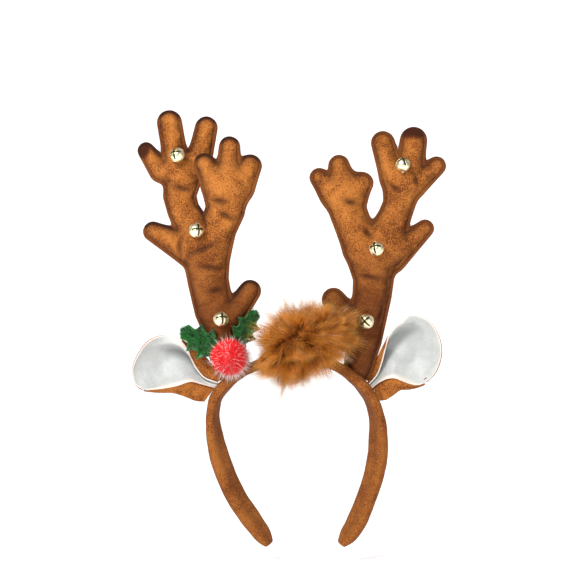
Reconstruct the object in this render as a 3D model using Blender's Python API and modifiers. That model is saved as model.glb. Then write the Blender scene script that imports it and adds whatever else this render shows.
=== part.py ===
"""Reindeer antler headband.

Metres, +Z up, the front facing -Y. The origin lies on the underside of the band's
crown, where it rests on a head. Tables and sizes below are in millimetres.
"""

import math
import random

import bmesh
import bpy
import numpy as np
from mathutils import Matrix, Vector

MM = 0.001
SEAT_GAP = 0.3

# Padded band, from the tip of the left leg over the crown to the tip of the right leg:
# x, z, twist in degrees, share of the depth, share of the thickness
BAND_DEPTH = 18.0
BAND_THICKNESS = 7.5
BAND_SECTIONS = 34
BAND_ROWS = (
    (-20.8, -137.4, 38, 0.42, 0.55),
    (-25.2, -131.4, 38, 0.84, 0.90),
    (-31.4, -123.0, 38, 1.00, 1.05),
    (-47.4, -99.3, 40, 1.00, 1.20),
    (-54.7, -83.9, 40, 1.00, 1.20),
    (-59.9, -68.5, 38, 1.00, 1.15),
    (-63.4, -53.1, 28, 1.00, 1.05),
    (-64.7, -39.0, 17, 1.00, 1.00),
    (-62.2, -24.5, 12, 1.00, 1.10),
    (-54.0, -13.8, 8, 1.00, 1.20),
    (-43.4, -5.2, 4, 1.00, 1.15),
    (-27.0, 1.5, 0, 1.00, 1.10),
    (0.0, 3.75, 0, 1.00, 1.00),
    (25.4, 1.7, 0, 1.00, 1.05),
    (38.0, -4.8, 5, 1.00, 1.15),
    (48.0, -13.2, 10, 1.00, 1.20),
    (55.6, -23.4, 16, 1.00, 1.10),
    (61.2, -38.5, 25, 1.00, 1.05),
    (62.5, -53.0, 34, 1.00, 1.15),
    (62.0, -68.5, 40, 1.00, 1.20),
    (59.0, -84.5, 40, 1.00, 1.20),
    (53.3, -101.5, 39, 1.00, 1.15),
    (44.6, -122.0, 38, 1.00, 1.05),
    (38.4, -131.4, 38, 0.84, 0.90),
    (33.4, -137.6, 38, 0.42, 0.55),
)
BAND_CORNER_THICKNESS = 2.2
BAND_CORNER_DEPTH = 3.0
MOST_CORNER_SHARE = 0.6

# Antlers: two velour layers sewn together near their edge and stuffed
SEAM_ALLOWANCE = 4.0
SEAM_HALF_THICKNESS = 1.2
LIMB_BLEND = 1.6
HEIGHT_BLEND = 7.0
ANTLER_CELL = 4.2
STUFFING_CURVE = 0.6
STUFFING_SMOOTHING = 3
RIM_STEPS = 10
LIMB_ROW = np.dtype([("x", "f8"), ("z", "f8"), ("radius", "f8"), ("puff", "f8")])
LEFT_ANTLER = {
    "trunk": (
        (-49.5, 1.0, 13.1, 9.0),
        (-56.0, 22.0, 13.8, 9.0),
        (-63.9, 43.1, 15.2, 9.5),
        (-68.5, 66.2, 16.0, 9.5),
        (-70.1, 89.3, 19.1, 9.5),
    ),
    "low_tine": ((-54.0, 32.0, 10.6, 7.5), (-36.2, 57.8, 8.7, 6.0)),
    "side_tine": ((-84.0, 90.0, 13.1, 8.0), (-110.9, 103.6, 7.9, 5.5)),
    "back_branch": (
        (-74.7, 97.0, 14.5, 9.0),
        (-87.8, 120.1, 12.5, 8.0),
        (-90.8, 131.7, 12.9, 8.0),
        (-87.4, 149.6, 15.6, 8.5),
    ),
    "back_finger_1": ((-95.0, 148.0, 10.1, 7.0), (-105.5, 150.4, 9.2, 6.5), (-116.7, 166.3, 6.8, 5.0)),
    "back_finger_2": ((-93.9, 160.2, 9.8, 7.0), (-98.6, 187.9, 9.8, 6.2)),
    "back_finger_3": ((-82.0, 154.0, 10.1, 7.5), (-74.7, 162.5, 9.8, 7.0), (-70.1, 184.0, 8.9, 6.0)),
    "front_branch": (
        (-63.1, 100.9, 14.5, 9.0),
        (-54.7, 120.1, 15.2, 8.5),
        (-53.9, 135.5, 19.1, 8.5),
    ),
    "front_finger_1": ((-62.4, 140.9, 11.4, 7.5), (-70.8, 154.8, 8.5, 5.8)),
    "front_finger_2": ((-52.4, 147.1, 9.8, 7.0), (-51.6, 167.9, 8.3, 5.8)),
    "front_finger_3": ((-43.9, 137.8, 12.2, 7.5), (-35.8, 153.2, 9.1, 6.0)),
}
RIGHT_ANTLER = {
    "trunk": (
        (46.8, -2.0, 11.4, 9.0),
        (52.0, 20.0, 13.4, 9.0),
        (57.8, 54.7, 15.2, 9.5),
        (58.8, 66.2, 15.8, 9.5),
        (58.5, 85.5, 21.6, 9.5),
    ),
    "low_tine": ((44.5, 30.0, 11.1, 7.5), (28.1, 51.2, 9.2, 6.0)),
    "side_tine": ((73.5, 83.5, 12.1, 8.0), (98.6, 105.9, 7.1, 5.5)),
    "left_branch": (
        (50.1, 93.2, 16.0, 9.0),
        (43.1, 108.6, 14.5, 8.5),
        (39.1, 119.4, 14.6, 8.5),
        (36.2, 133.0, 18.1, 8.5),
    ),
    "left_finger_1": ((27.0, 131.7, 9.8, 7.0), (16.9, 145.1, 7.5, 5.5)),
    "left_finger_2": ((35.4, 139.4, 10.6, 7.0), (32.3, 154.4, 8.3, 5.8)),
    "left_finger_3": ((44.7, 131.7, 10.1, 7.0), (50.4, 140.9, 8.5, 5.8)),
    "right_branch": (
        (67.8, 97.0, 16.0, 9.0),
        (74.9, 114.7, 12.9, 8.5),
        (78.5, 124.0, 12.5, 8.5),
        (81.6, 141.7, 16.0, 8.5),
    ),
    "right_finger_1": ((73.2, 144.8, 9.8, 7.0), (66.1, 171.7, 9.3, 6.2)),
    "right_finger_2": ((87.8, 154.8, 10.6, 7.5), (89.7, 173.6, 10.6, 6.5)),
    "right_finger_3": ((90.9, 138.6, 9.1, 6.5), (107.4, 154.0, 7.5, 5.2)),
}
# The left antler's front branch is cut spread away from the other one and folded over it
FORK = (-68.0, 92.0)
SPREAD_ANGLE = 20.0
FOLD_BLEND = 7.0
FOLD_REACH = 42.0
FRONT_SHIFT = -9.0
BACK_SHIFT = 6.0

# Ears: a velour shell behind a satin lining, gathered onto the band at the base.
# Their rims and the shell's own edges run from the base to the tip: x, z
SHELL_THICKNESS = 1.2
LINING_THICKNESS = 1.0
EAR_SPACING = 1.8
SHELL_BACK = 0.8
SHELL_SIZE_SHARE = 0.965
EAR_ALONG = 12
EAR_ACROSS = 6
EAR_CUP = 13.0
# The cup starts a little way in from the base and flattens again towards the tip
CUP_AT_BASE = 0.2
CUP_RISE = 0.5
CUP_FALL = 0.4
CUP_FULLNESS = 0.8
EAR_RIM_FORWARD = 8.0
FORWARD_RUN = 0.6
EAR_SKIRT = 2
SKIRT_BACK = 4.0
POINT_MERGE = 0.1
LEFT_EAR_UPPER = (
    (-60.0, -13.0),
    (-72.0, -8.0),
    (-78.7, 0.8),
    (-84.4, 13.9),
    (-92.0, 22.3),
    (-104.0, 23.6),
    (-113.2, 19.6),
    (-121.0, 10.2),
    (-126.0, -3.7),
    (-123.0, -14.0),
    (-117.0, -18.0),
)
LEFT_EAR_LOWER = (
    (-61.0, -17.5),
    (-73.2, -14.0),
    (-80.1, -12.0),
    (-92.0, -14.9),
    (-104.0, -17.0),
    (-117.0, -18.0),
)
LEFT_SHELL_LOWER = (
    (-69.0, -28.0),
    (-76.5, -27.0),
    (-83.5, -24.0),
    (-93.0, -20.8),
    (-105.0, -20.4),
    (-117.6, -19.0),
)
RIGHT_EAR_UPPER = (
    (54.5, -14.5),
    (61.5, -6.5),
    (65.2, 3.5),
    (67.4, 13.1),
    (72.4, 29.3),
    (81.5, 37.7),
    (91.0, 39.3),
    (100.9, 34.7),
    (107.8, 24.6),
    (110.4, 13.1),
    (107.8, 0.0),
    (103.0, -8.0),
    (97.5, -12.6),
)
RIGHT_EAR_LOWER = (
    (56.5, -18.0),
    (63.0, -12.8),
    (69.0, -9.8),
    (74.5, -9.2),
    (80.0, -11.0),
    (86.0, -13.2),
    (91.5, -14.2),
    (97.5, -12.6),
)
RIGHT_SHELL_LOWER = (
    (60.5, -27.5),
    (66.5, -26.5),
    (72.5, -22.5),
    (78.0, -18.6),
    (84.0, -18.2),
    (91.0, -16.6),
    (97.5, -14.0),
)

# How far in front of the object a piece starts before it is set against its carrier
START_Y = -80.0

# Fur strip over the crown: a soft body with locks drawn out of it
FUR_CENTRE = (7.5, -13.0, 18.5)
FUR_RADII = (28.0, 14.0, 20.0)
FUR_SUBDIVISIONS = 2
# From left to right the strip climbs and thins
FUR_RISE = 8.0
FUR_TAPER = 6.0
# Waves of lumps over it: how high they stand, and how many radians each turns over a radius
FUR_LUMP = 0.10
LUMP_WAVES = (5, 4, 2)
LOCK_SHORTEST = 1.15
LOCK_LONGEST = 1.50
LOCK_SHARE = 0.8
LOCK_COMB = (0.25, 0.0, -0.15)
FUR_END_FORWARD = 9.0
FUR_END_STARTS = 10.0
FUR_END_RUN = 30.0
HEAD_ROOM = (120.0, 100.0, 60.0)
HEAD_ROOM_TOP = 1.5
FUR_SEED = 4

# Tinsel pompom and holly leaves, pinned in front of the left antler's foot
POMPOM_PLACE = (-51.2, 7.7)
POMPOM_RADIUS = 13.2
TINSEL_SHORTEST = 1.12
TINSEL_LONGEST = 1.42
TINSEL_SHARE = 0.62
TINSEL_SUBDIVISIONS = 3
TINSEL_BACK = 0.35
POMPOM_SEED = 11
LEAF_THICKNESS = 1.2
LEAF_SPINES = 4
LEAF_STEPS = 16
# base x, base z, tip x, tip z, width
LEAVES = {
    "holly_leaf_left": (-55.5, 12.5, -88.8, 28.7, 23.0),
    "holly_leaf_right": (-48.5, 13.0, -31.3, 42.4, 19.0),
}
LEAF_ROWS = 2
LEAF_CURL = 2.2
SPINE_DEPTH = 0.42
SPINE_LEAN = 0.5
# The widest place lies a little nearer the base, and both ends come to a point
SWELL_FORWARD = 0.8
SWELL_FULLNESS = 0.7
LEAF_MERGE = 0.05

# Jingle bells: a brass ball with a cross cut in its face, a shank and a loose pellet
BELL_RADIUS = 6.0
BELL_WALL = 0.6
SLOT_WIDTH = 1.1
SLOT_LENGTH = 10.2
SLOT_FLOOR = 2.4
SHANK_RADIUS = 1.1
SHANK_REACH = 7.4
PELLET_RADIUS = 1.5
PELLET_DROP = 3.0
# antler, x, z, where the face turns in x and z, roll of the cross
BELLS = {
    "left_top": ("left", -91.8, 161.9, -0.45, 0.45, 0.2),
    "left_middle": ("left", -76.8, 104.0, 0.45, 0.20, 0.0),
    "left_low": ("left", -57.9, 36.3, 0.28, 0.39, 0.0),
    "right_top": ("right", 80.8, 154.2, 0.00, 0.80, 0.3),
    "right_middle": ("right", 60.4, 89.9, -0.40, 0.40, 0.2),
    "right_low": ("right", 52.6, 34.6, -0.32, 0.07, 0.785),
}


def clear_scene():
    for obj in list(bpy.data.objects):
        bpy.data.objects.remove(obj, do_unlink=True)


def new_collection(name):
    collection = bpy.data.collections.new(name)
    bpy.context.scene.collection.children.link(collection)
    return collection


def linear(level):
    share = level / 255
    return share / 12.92 if share <= 0.04045 else ((share + 0.055) / 1.055) ** 2.4


def make_material(name, rgb, roughness, metallic=0.0):
    material = bpy.data.materials.new(name)
    material.use_nodes = True
    shader = material.node_tree.nodes["Principled BSDF"]
    shader.inputs["Base Color"].default_value = (*map(linear, rgb), 1.0)
    shader.inputs["Roughness"].default_value = roughness
    shader.inputs["Metallic"].default_value = metallic
    return material


def make_object(name, mesh, collection, material=None):
    obj = bpy.data.objects.new(name, mesh)
    collection.objects.link(obj)
    if material:
        mesh.materials.clear()
        mesh.materials.append(material)
        mesh.shade_smooth()
        mesh.set_sharp_from_angle(angle=math.radians(40))
    return obj


def mesh_from(bm, name, recalculate=True):
    """The bmesh, drawn in millimetres, as a mesh in metres."""
    if recalculate:
        bmesh.ops.recalc_face_normals(bm, faces=bm.faces)
    bmesh.ops.scale(bm, vec=(MM, MM, MM), verts=bm.verts)
    mesh = bpy.data.meshes.new(name)
    bm.to_mesh(mesh)
    bm.free()
    return mesh


def make_cutter(name, bm, collection):
    cutter = make_object(name, mesh_from(bm, name), collection)
    cutter.hide_render = True
    cutter.display_type = "WIRE"
    return cutter


def combine(obj, other, operation="DIFFERENCE"):
    modifier = obj.modifiers.new(f"{operation.lower()} {other.name}", "BOOLEAN")
    modifier.operation = operation
    modifier.object = other


def thicken(obj, thickness):
    modifier = obj.modifiers.new("thickness", "SOLIDIFY")
    modifier.thickness = thickness * MM
    modifier.offset = 0.0


def rest_on(piece, carriers, clearance):
    """Moves a piece back along +Y until it lies just in front of what carries it."""
    bpy.context.view_layer.update()
    graph = bpy.context.evaluated_depsgraph_get()
    reaches = []
    for vert in piece.data.vertices:
        place = piece.matrix_world @ vert.co
        for carrier in carriers:
            start = carrier.matrix_world.inverted() @ place
            hit, found, *_ = carrier.ray_cast(start, Vector((0, 1, 0)), depsgraph=graph)
            if hit:
                reaches.append(found.y - start.y)
    piece.location.y += min(reaches) - clearance * MM


def smooth_step(value):
    share = np.clip(value, 0.0, 1.0)
    return share * share * (3 - 2 * share)


def smooth_path(rows, count):
    """Evenly spaced rows along a smooth line through the given rows."""
    rows = np.array(rows, float)
    steps = np.linalg.norm(np.diff(rows[:, :2], axis=0), axis=1)
    reach = np.concatenate(([0.0], np.cumsum(steps)))
    slopes = np.gradient(rows, reach, axis=0)
    at = np.linspace(0.0, reach[-1], count)
    first = np.clip(np.searchsorted(reach, at, side="right") - 1, 0, len(rows) - 2)
    span = (reach[first + 1] - reach[first])[:, None]
    share = (at - reach[first])[:, None] / span
    rest = 1 - share
    ends = rows[first] * (1 + 2 * share) * rest**2
    ends += rows[first + 1] * (1 + 2 * rest) * share**2
    bends = slopes[first] * rest - slopes[first + 1] * share
    return ends + bends * span * share * rest


def band_section(thickness, depth):
    """The band's section, its corners cut off: places across its thickness and depth."""
    a = thickness / 2
    b = depth / 2
    inner_a = a - min(BAND_CORNER_THICKNESS, MOST_CORNER_SHARE * a)
    inner_b = b - min(BAND_CORNER_DEPTH, MOST_CORNER_SHARE * b)
    half = [(a, inner_b), (inner_a, b), (-inner_a, b), (-a, inner_b)]
    return half + [(-across, -along) for across, along in half]


def band_bmesh(grow=0.0, grow_depth=0.0, grow_inward=0.0):
    """The band's section swept from leg to leg, its end rows closed."""
    stations = smooth_path(BAND_ROWS, BAND_SECTIONS)
    heading = np.gradient(stations[:, :2], axis=0)
    bm = bmesh.new()
    ring = None
    for row, (run_x, run_z) in zip(stations, heading):
        x, z, twist, depth_share, thickness_share = row
        length = math.hypot(run_x, run_z)
        outward = Vector((-run_z / length, 0.0, run_x / length))
        turn = Matrix.Rotation(math.radians(twist), 3, outward.cross(Vector((0, 1, 0))))
        across = turn @ outward
        along_depth = turn @ Vector((0.0, 1.0, 0.0))
        thickness = BAND_THICKNESS * thickness_share + 2 * grow + grow_inward
        depth = BAND_DEPTH * depth_share + 2 * grow + grow_depth
        centre = Vector((x, 0.0, z)) - across * (grow_inward / 2)
        places = [
            centre + across * a + along_depth * b for a, b in band_section(thickness, depth)
        ]
        if ring is None:
            ring = [bm.verts.new(place) for place in places]
            edges = [bm.edges.new((ring[i - 1], ring[i])) for i in range(len(ring))]
            bmesh.ops.edgeloop_fill(bm, edges=edges)
            continue
        made = bmesh.ops.extrude_edge_only(bm, edges=edges)["geom"]
        edges = [item for item in made if isinstance(item, bmesh.types.BMEdge)]
        fresh = [item for item in made if isinstance(item, bmesh.types.BMVert)]
        follows = {}
        for vert in ring:
            partner = next(e.other_vert(vert) for e in vert.link_edges if e.other_vert(vert) in fresh)
            follows[vert] = partner
        ring = [follows[vert] for vert in ring]
        for vert, place in zip(ring, places):
            vert.co = place
        edges = [e for e in edges if e.verts[0] in ring and e.verts[1] in ring]
    bmesh.ops.edgeloop_fill(bm, edges=edges)
    return bm


def as_limbs(table):
    return {name: np.array(list(rows), LIMB_ROW) for name, rows in table.items()}


def turned(points, pivot, angle):
    """Points of the XZ plane turned about a pivot, counter-clockwise seen from the front."""
    angle = np.asarray(angle)
    dx = points[:, 0] - pivot[0]
    dz = points[:, 1] - pivot[1]
    x = pivot[0] + dx * np.cos(angle) - dz * np.sin(angle)
    z = pivot[1] + dx * np.sin(angle) + dz * np.cos(angle)
    return np.stack([x, z], axis=1)


def spread_limbs(limbs):
    """The left antler's limbs as they are cut, its front branch turned away."""
    for name, limb in limbs.items():
        if name.startswith("front"):
            places = np.stack([limb["x"], limb["z"]], axis=1)
            places = turned(places, FORK, -math.radians(SPREAD_ANGLE))
            limb["x"] = places[:, 0]
            limb["z"] = places[:, 1]
    return limbs


def stretch_fields(points, first, last):
    """Distance past one limb stretch's edge, and the stuffing's half thickness."""
    start = np.array([first["x"], first["z"]])
    run = np.array([last["x"], last["z"]]) - start
    along = np.clip((points - start) @ run / (run @ run), 0.0, 1.0)
    radius = first["radius"] + along * (last["radius"] - first["radius"])
    puff = first["puff"] + along * (last["puff"] - first["puff"])
    off_axis = np.linalg.norm(points - start - along[:, None] * run, axis=1)
    inside = np.clip(1 - (off_axis / (radius - SEAM_ALLOWANCE)) ** 2, 0.0, 1.0)
    return off_axis - radius, (puff - SEAM_HALF_THICKNESS) * inside**STUFFING_CURVE


def limb_fields(points, limb):
    stretches = [stretch_fields(points, a, b) for a, b in zip(limb[:-1], limb[1:])]
    edge = np.min([stretch[0] for stretch in stretches], axis=0)
    puff = np.max([stretch[1] for stretch in stretches], axis=0)
    return edge, puff


def edge_distance(points, limbs):
    """Distance past the antler's outline, negative inside it."""
    edges = np.array([limb_fields(points, limb)[0] for limb in limbs])
    return -LIMB_BLEND * np.log(np.exp(-edges / LIMB_BLEND).sum(axis=0))


def half_thickness(points, limbs):
    puffs = np.array([limb_fields(points, limb)[1] for limb in limbs])
    puff = (puffs**HEIGHT_BLEND).sum(axis=0) ** (1 / HEIGHT_BLEND)
    return SEAM_HALF_THICKNESS + puff


def flat_points(verts):
    return np.array([(vert.co.x, vert.co.z) for vert in verts]).reshape(-1, 2)


def step_to_level(verts, limbs, level, steps):
    """Moves vertices square to the outline's contours until they lie on one of them."""
    points = flat_points(verts)
    probe = 0.05
    for step in range(steps):
        here = edge_distance(points, limbs)
        slope_x = (edge_distance(points + (probe, 0), limbs) - here) / probe
        slope_z = (edge_distance(points + (0, probe), limbs) - here) / probe
        slope = np.stack([slope_x, slope_z], axis=1)
        steepness = np.maximum((slope**2).sum(axis=1), 0.25)
        move = (level - here) / (steps - step)
        points = points + slope * (move / steepness)[:, None]
    for vert, (x, z) in zip(verts, points):
        vert.co.x = x
        vert.co.z = z


def cut_to_outline(bm, limbs, level):
    """Keeps the grid inside one contour of the outline, with its border on the contour."""
    bm.verts.ensure_lookup_table()
    distance = edge_distance(flat_points(bm.verts), limbs) - level
    near = [vert for vert, d in zip(bm.verts, distance) if abs(d) < 0.3 * ANTLER_CELL]
    step_to_level(near, limbs, level, 3)
    side = dict(zip(bm.verts, distance))
    side.update((vert, 0.0) for vert in near)
    crossing = [edge for edge in bm.edges if side[edge.verts[0]] * side[edge.verts[1]] < 0]
    fresh = []
    for edge in crossing:
        start, end = edge.verts
        share = side[start] / (side[start] - side[end])
        fresh.append(bmesh.utils.edge_split(edge, start, share)[1])
    step_to_level(fresh, limbs, level, 2)
    bmesh.ops.connect_verts(bm, verts=near + fresh)
    centres = [face.calc_center_median() for face in bm.faces]
    middles = np.array([(centre.x, centre.z) for centre in centres])
    outside = edge_distance(middles, limbs) > level
    bmesh.ops.delete(
        bm, geom=[face for face, out in zip(bm.faces, outside) if out], context="FACES"
    )


def fold_weight(points, limbs):
    """How far each point of the left antler's pattern belongs to the front branch."""
    front = edge_distance(points, [v for k, v in limbs.items() if k.startswith("front")])
    rest = edge_distance(points, [v for k, v in limbs.items() if not k.startswith("front")])
    return smooth_step((rest - front) / (2 * FOLD_BLEND) + 0.5)


def fold_left(points, limbs):
    """Pattern places of the left antler folded into the shape it is worn in."""
    front = fold_weight(points, limbs)
    from_fork = np.hypot(points[:, 0] - FORK[0], points[:, 1] - FORK[1])
    above_fork = points[:, 1] - FORK[1]
    folded = turned(points, FORK, math.radians(SPREAD_ANGLE) * front)
    forward = FRONT_SHIFT * front * smooth_step(from_fork / FOLD_REACH)
    back = BACK_SHIFT * (1 - front) * smooth_step(above_fork / FOLD_REACH)
    return folded, forward + back


def stay_flat(points, limbs):
    return points, np.zeros(len(points))


def antler_bmesh(limbs, fold):
    """Two sewn layers: a flat border round a stuffed middle, front and back."""
    shapes = list(limbs.values())
    low_x = min((limb["x"] - limb["radius"]).min() for limb in shapes)
    high_x = max((limb["x"] + limb["radius"]).max() for limb in shapes)
    low_z = min((limb["z"] - limb["radius"]).min() for limb in shapes)
    high_z = max((limb["z"] + limb["radius"]).max() for limb in shapes)
    columns = math.ceil((high_x - low_x) / ANTLER_CELL)
    rows = math.ceil((high_z - low_z) / ANTLER_CELL)
    bm = bmesh.new()
    bmesh.ops.create_grid(bm, x_segments=columns, y_segments=rows, size=0.5)
    for vert in bm.verts:
        x = low_x + (vert.co.x + 0.5) * columns * ANTLER_CELL
        z = low_z + (vert.co.y + 0.5) * rows * ANTLER_CELL
        vert.co = (x, 0.0, z)
    cut_to_outline(bm, shapes, -SEAM_ALLOWANCE)
    border = [edge for edge in bm.edges if edge.is_boundary]
    made = bmesh.ops.extrude_edge_only(bm, edges=border)["geom"]
    rim = [item for item in made if isinstance(item, bmesh.types.BMVert)]
    step_to_level(rim, shapes, 0.0, RIM_STEPS)
    border_verts = {vert for edge in border for vert in edge.verts}.union(rim)
    stuffed = [vert for vert in bm.verts if vert not in border_verts]
    for vert, depth in zip(bm.verts, half_thickness(flat_points(bm.verts), shapes)):
        vert.co.y = -depth
    for _ in range(STUFFING_SMOOTHING):
        bmesh.ops.smooth_vert(bm, verts=stuffed, factor=0.5, use_axis_y=True)
    made = bmesh.ops.extrude_face_region(bm, geom=list(bm.faces), use_keep_orig=True)["geom"]
    for item in made:
        if isinstance(item, bmesh.types.BMVert):
            item.co.y = -item.co.y
    folded, shift = fold(flat_points(bm.verts), limbs)
    for vert, (x, z), y in zip(bm.verts, folded, shift):
        vert.co = (x, vert.co.y + y, z)
    return bm


def build_headband(parts, cutters, velour):
    make_object("headband", mesh_from(band_bmesh(), "headband"), parts, velour)
    round_band = make_cutter("band_clearance", band_bmesh(SEAT_GAP), cutters)
    below = band_bmesh(SEAT_GAP, 2 * BAND_CORNER_DEPTH + SEAM_ALLOWANCE, BAND_DEPTH)
    under_foot = make_cutter("antler_foot_cut", below, cutters)
    return round_band, under_foot


def build_antlers(parts, under_foot, velour):
    patterns = {
        "left": (spread_limbs(as_limbs(LEFT_ANTLER)), fold_left),
        "right": (as_limbs(RIGHT_ANTLER), stay_flat),
    }
    antlers = {}
    for side, (limbs, fold) in patterns.items():
        name = f"antler_{side}"
        mesh = mesh_from(antler_bmesh(limbs, fold), name)
        antlers[side] = make_object(name, mesh, parts, velour)
        combine(antlers[side], under_foot)
    return antlers


def ear_bmesh(upper_rows, lower_rows, skirt_rows=None):
    """A cupped leaf of cloth between two rims. A skirt makes it the shell behind a lining."""
    skirt_steps = EAR_SKIRT if skirt_rows else 0
    upper = smooth_path(upper_rows, EAR_ALONG + 1)
    lower = smooth_path(lower_rows, EAR_ALONG + 1)
    rows = EAR_ACROSS + skirt_steps
    bm = bmesh.new()
    bmesh.ops.create_grid(bm, x_segments=EAR_ALONG, y_segments=rows, size=0.5)
    place_in_grid = {}
    for vert in bm.verts:
        step = round((vert.co.x + 0.5) * EAR_ALONG)
        row = round((vert.co.y + 0.5) * rows) - skirt_steps
        along = step / EAR_ALONG
        across = max(row, 0) / EAR_ACROSS
        x, z = lower[step] + (upper[step] - lower[step]) * across
        rise = smooth_step(CUP_AT_BASE + along / CUP_RISE)
        cup = EAR_CUP * rise * smooth_step((1 - along) / CUP_FALL)
        depth = cup * (4 * across * (1 - across)) ** CUP_FULLNESS
        vert.co = (x, depth - EAR_RIM_FORWARD * smooth_step(along / FORWARD_RUN), z)
        place_in_grid[vert] = (step, row)
    bm.normal_update()
    if sum(face.normal.y * face.calc_area() for face in bm.faces) < 0:
        bmesh.ops.reverse_faces(bm, faces=bm.faces)
        bm.normal_update()
    if skirt_rows:
        skirt = smooth_path(skirt_rows, EAR_ALONG + 1)
        centre = (upper.mean(axis=0) + lower.mean(axis=0)) / 2
        shifts = [vert.normal.copy() for vert in bm.verts]
        for vert, shift in zip(bm.verts, shifts):
            step, row = place_in_grid[vert]
            vert.co += (Vector((0, 1, 0)) if step == EAR_ALONG else shift) * EAR_SPACING
            drop = max(-row, 0) / skirt_steps
            x, z = centre + ((vert.co.x, vert.co.z) - centre) * SHELL_SIZE_SHARE
            x, z = (x, z) + (skirt[step] - lower[step]) * drop
            vert.co = (x, vert.co.y + SHELL_BACK + SKIRT_BACK * drop, z)
    bmesh.ops.remove_doubles(bm, verts=bm.verts, dist=POINT_MERGE)
    return bm


def build_ears(parts, round_band, velour, satin):
    ears = {
        "left": (LEFT_EAR_UPPER, LEFT_EAR_LOWER, LEFT_SHELL_LOWER),
        "right": (RIGHT_EAR_UPPER, RIGHT_EAR_LOWER, RIGHT_SHELL_LOWER),
    }
    for side, (upper, lower, skirt) in ears.items():
        name = f"ear_{side}_lining"
        mesh = mesh_from(ear_bmesh(upper, lower), name, recalculate=False)
        lining = make_object(name, mesh, parts, satin)
        thicken(lining, LINING_THICKNESS)
        combine(lining, round_band)
        name = f"ear_{side}_shell"
        mesh = mesh_from(ear_bmesh(upper, lower, skirt), name, recalculate=False)
        shell = make_object(name, mesh, parts, velour)
        thicken(shell, SHELL_THICKNESS)
        combine(shell, round_band)


def draw_out(bm, faces, shortest, longest, dice, comb=(0.0, 0.0, 0.0)):
    """Raises the middle of each face into a lock, out from the centre and combed over."""
    for vert in bmesh.ops.poke(bm, faces=faces)["verts"]:
        length = dice.uniform(shortest, longest)
        vert.co = vert.co.normalized() * length + Vector(comb) * (length - 1)


def build_fur(parts, cutters, round_band, fur):
    dice = random.Random(FUR_SEED)
    bm = bmesh.new()
    bmesh.ops.create_icosphere(bm, subdivisions=FUR_SUBDIVISIONS, radius=1.0)
    wave_x, wave_z, wave_y = LUMP_WAVES
    for vert in bm.verts:
        lump = math.sin(wave_x * vert.co.x) * math.cos(wave_z * vert.co.z - wave_y * vert.co.y)
        vert.co *= 1 + FUR_LUMP * lump
    chosen = [face for face in bm.faces if dice.random() < LOCK_SHARE]
    draw_out(bm, chosen, LOCK_SHORTEST, LOCK_LONGEST, dice, LOCK_COMB)
    for vert in bm.verts:
        side = vert.co.x
        x, y, z = (c + r * p for c, r, p in zip(FUR_CENTRE, FUR_RADII, vert.co))
        z += FUR_RISE * side - FUR_TAPER * side * vert.co.z
        y -= FUR_END_FORWARD * float(smooth_step((x - FUR_END_STARTS) / FUR_END_RUN))
        vert.co = (x, y, z)
    tuft = make_object("fur_tuft", mesh_from(bm, "fur_tuft"), parts, fur)
    combine(tuft, round_band)
    head = bmesh.new()
    bmesh.ops.create_cube(head, size=1.0)
    half_depth = BAND_DEPTH / 2 + SEAT_GAP
    size = Vector(HEAD_ROOM)
    centre = Vector((0, size.y / 2 - half_depth, HEAD_ROOM_TOP - size.z / 2))
    bmesh.ops.scale(head, vec=size, verts=head.verts)
    bmesh.ops.translate(head, vec=centre, verts=head.verts)
    combine(tuft, make_cutter("head_room", head, cutters))
    return tuft


def build_pompom(parts, carriers, tinsel):
    dice = random.Random(POMPOM_SEED)
    bm = bmesh.new()
    bmesh.ops.create_icosphere(bm, subdivisions=TINSEL_SUBDIVISIONS, radius=1.0)
    outer = [face for face in bm.faces if face.calc_center_median().y < TINSEL_BACK]
    chosen = [face for face in outer if dice.random() < TINSEL_SHARE]
    draw_out(bm, chosen, TINSEL_SHORTEST, TINSEL_LONGEST, dice)
    bmesh.ops.scale(bm, vec=(POMPOM_RADIUS,) * 3, verts=bm.verts)
    pompom = make_object("pompom", mesh_from(bm, "pompom"), parts, tinsel)
    x, z = POMPOM_PLACE
    pompom.location = Vector((x, START_Y, z)) * MM
    rest_on(pompom, carriers, SEAT_GAP)


def build_leaf(name, row, parts, carriers, tinsel):
    """A spiny leaf: its half width swells between the ends and peaks at each spine."""
    base_x, base_z, tip_x, tip_z, width = row
    run = Vector((tip_x - base_x, 0.0, tip_z - base_z))
    sideways = Vector((-run.z, 0.0, run.x)).normalized()
    bm = bmesh.new()
    bmesh.ops.create_grid(bm, x_segments=LEAF_STEPS, y_segments=LEAF_ROWS, size=1.0)
    for vert in bm.verts:
        along = (vert.co.x + 1) / 2
        across = vert.co.y
        spine = 1 - abs(2 * ((along * LEAF_SPINES) % 1) - 1)
        swell = max(math.sin(math.pi * along**SWELL_FORWARD), 0.0) ** SWELL_FULLNESS
        half_width = width / 2 * swell * (1 - SPINE_DEPTH * (1 - spine))
        lean = SPINE_LEAN * abs(across) * spine / (2 * LEAF_SPINES) * swell
        curl = LEAF_CURL * (across**2 * swell - 0.4)
        place = Vector((base_x, START_Y, base_z)) + run * (along + lean)
        vert.co = place + sideways * (across * half_width) - Vector((0, curl, 0))
    bmesh.ops.remove_doubles(bm, verts=bm.verts, dist=LEAF_MERGE)
    leaf = make_object(name, mesh_from(bm, name), parts, tinsel)
    rest_on(leaf, carriers, LEAF_THICKNESS / 2 + SEAT_GAP)
    thicken(leaf, LEAF_THICKNESS)
    return leaf


def slot_cutter(name, turn, cutters):
    bm = bmesh.new()
    bmesh.ops.create_cube(bm, size=1.0)
    height = BELL_RADIUS
    size = Matrix.Diagonal((SLOT_LENGTH, SLOT_WIDTH, height, 1))
    place = Matrix.Translation((0, 0, SLOT_FLOOR + height / 2))
    bmesh.ops.transform(bm, matrix=Matrix.Rotation(turn, 4, "Z") @ place @ size, verts=bm.verts)
    return make_cutter(name, bm, cutters)


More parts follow.
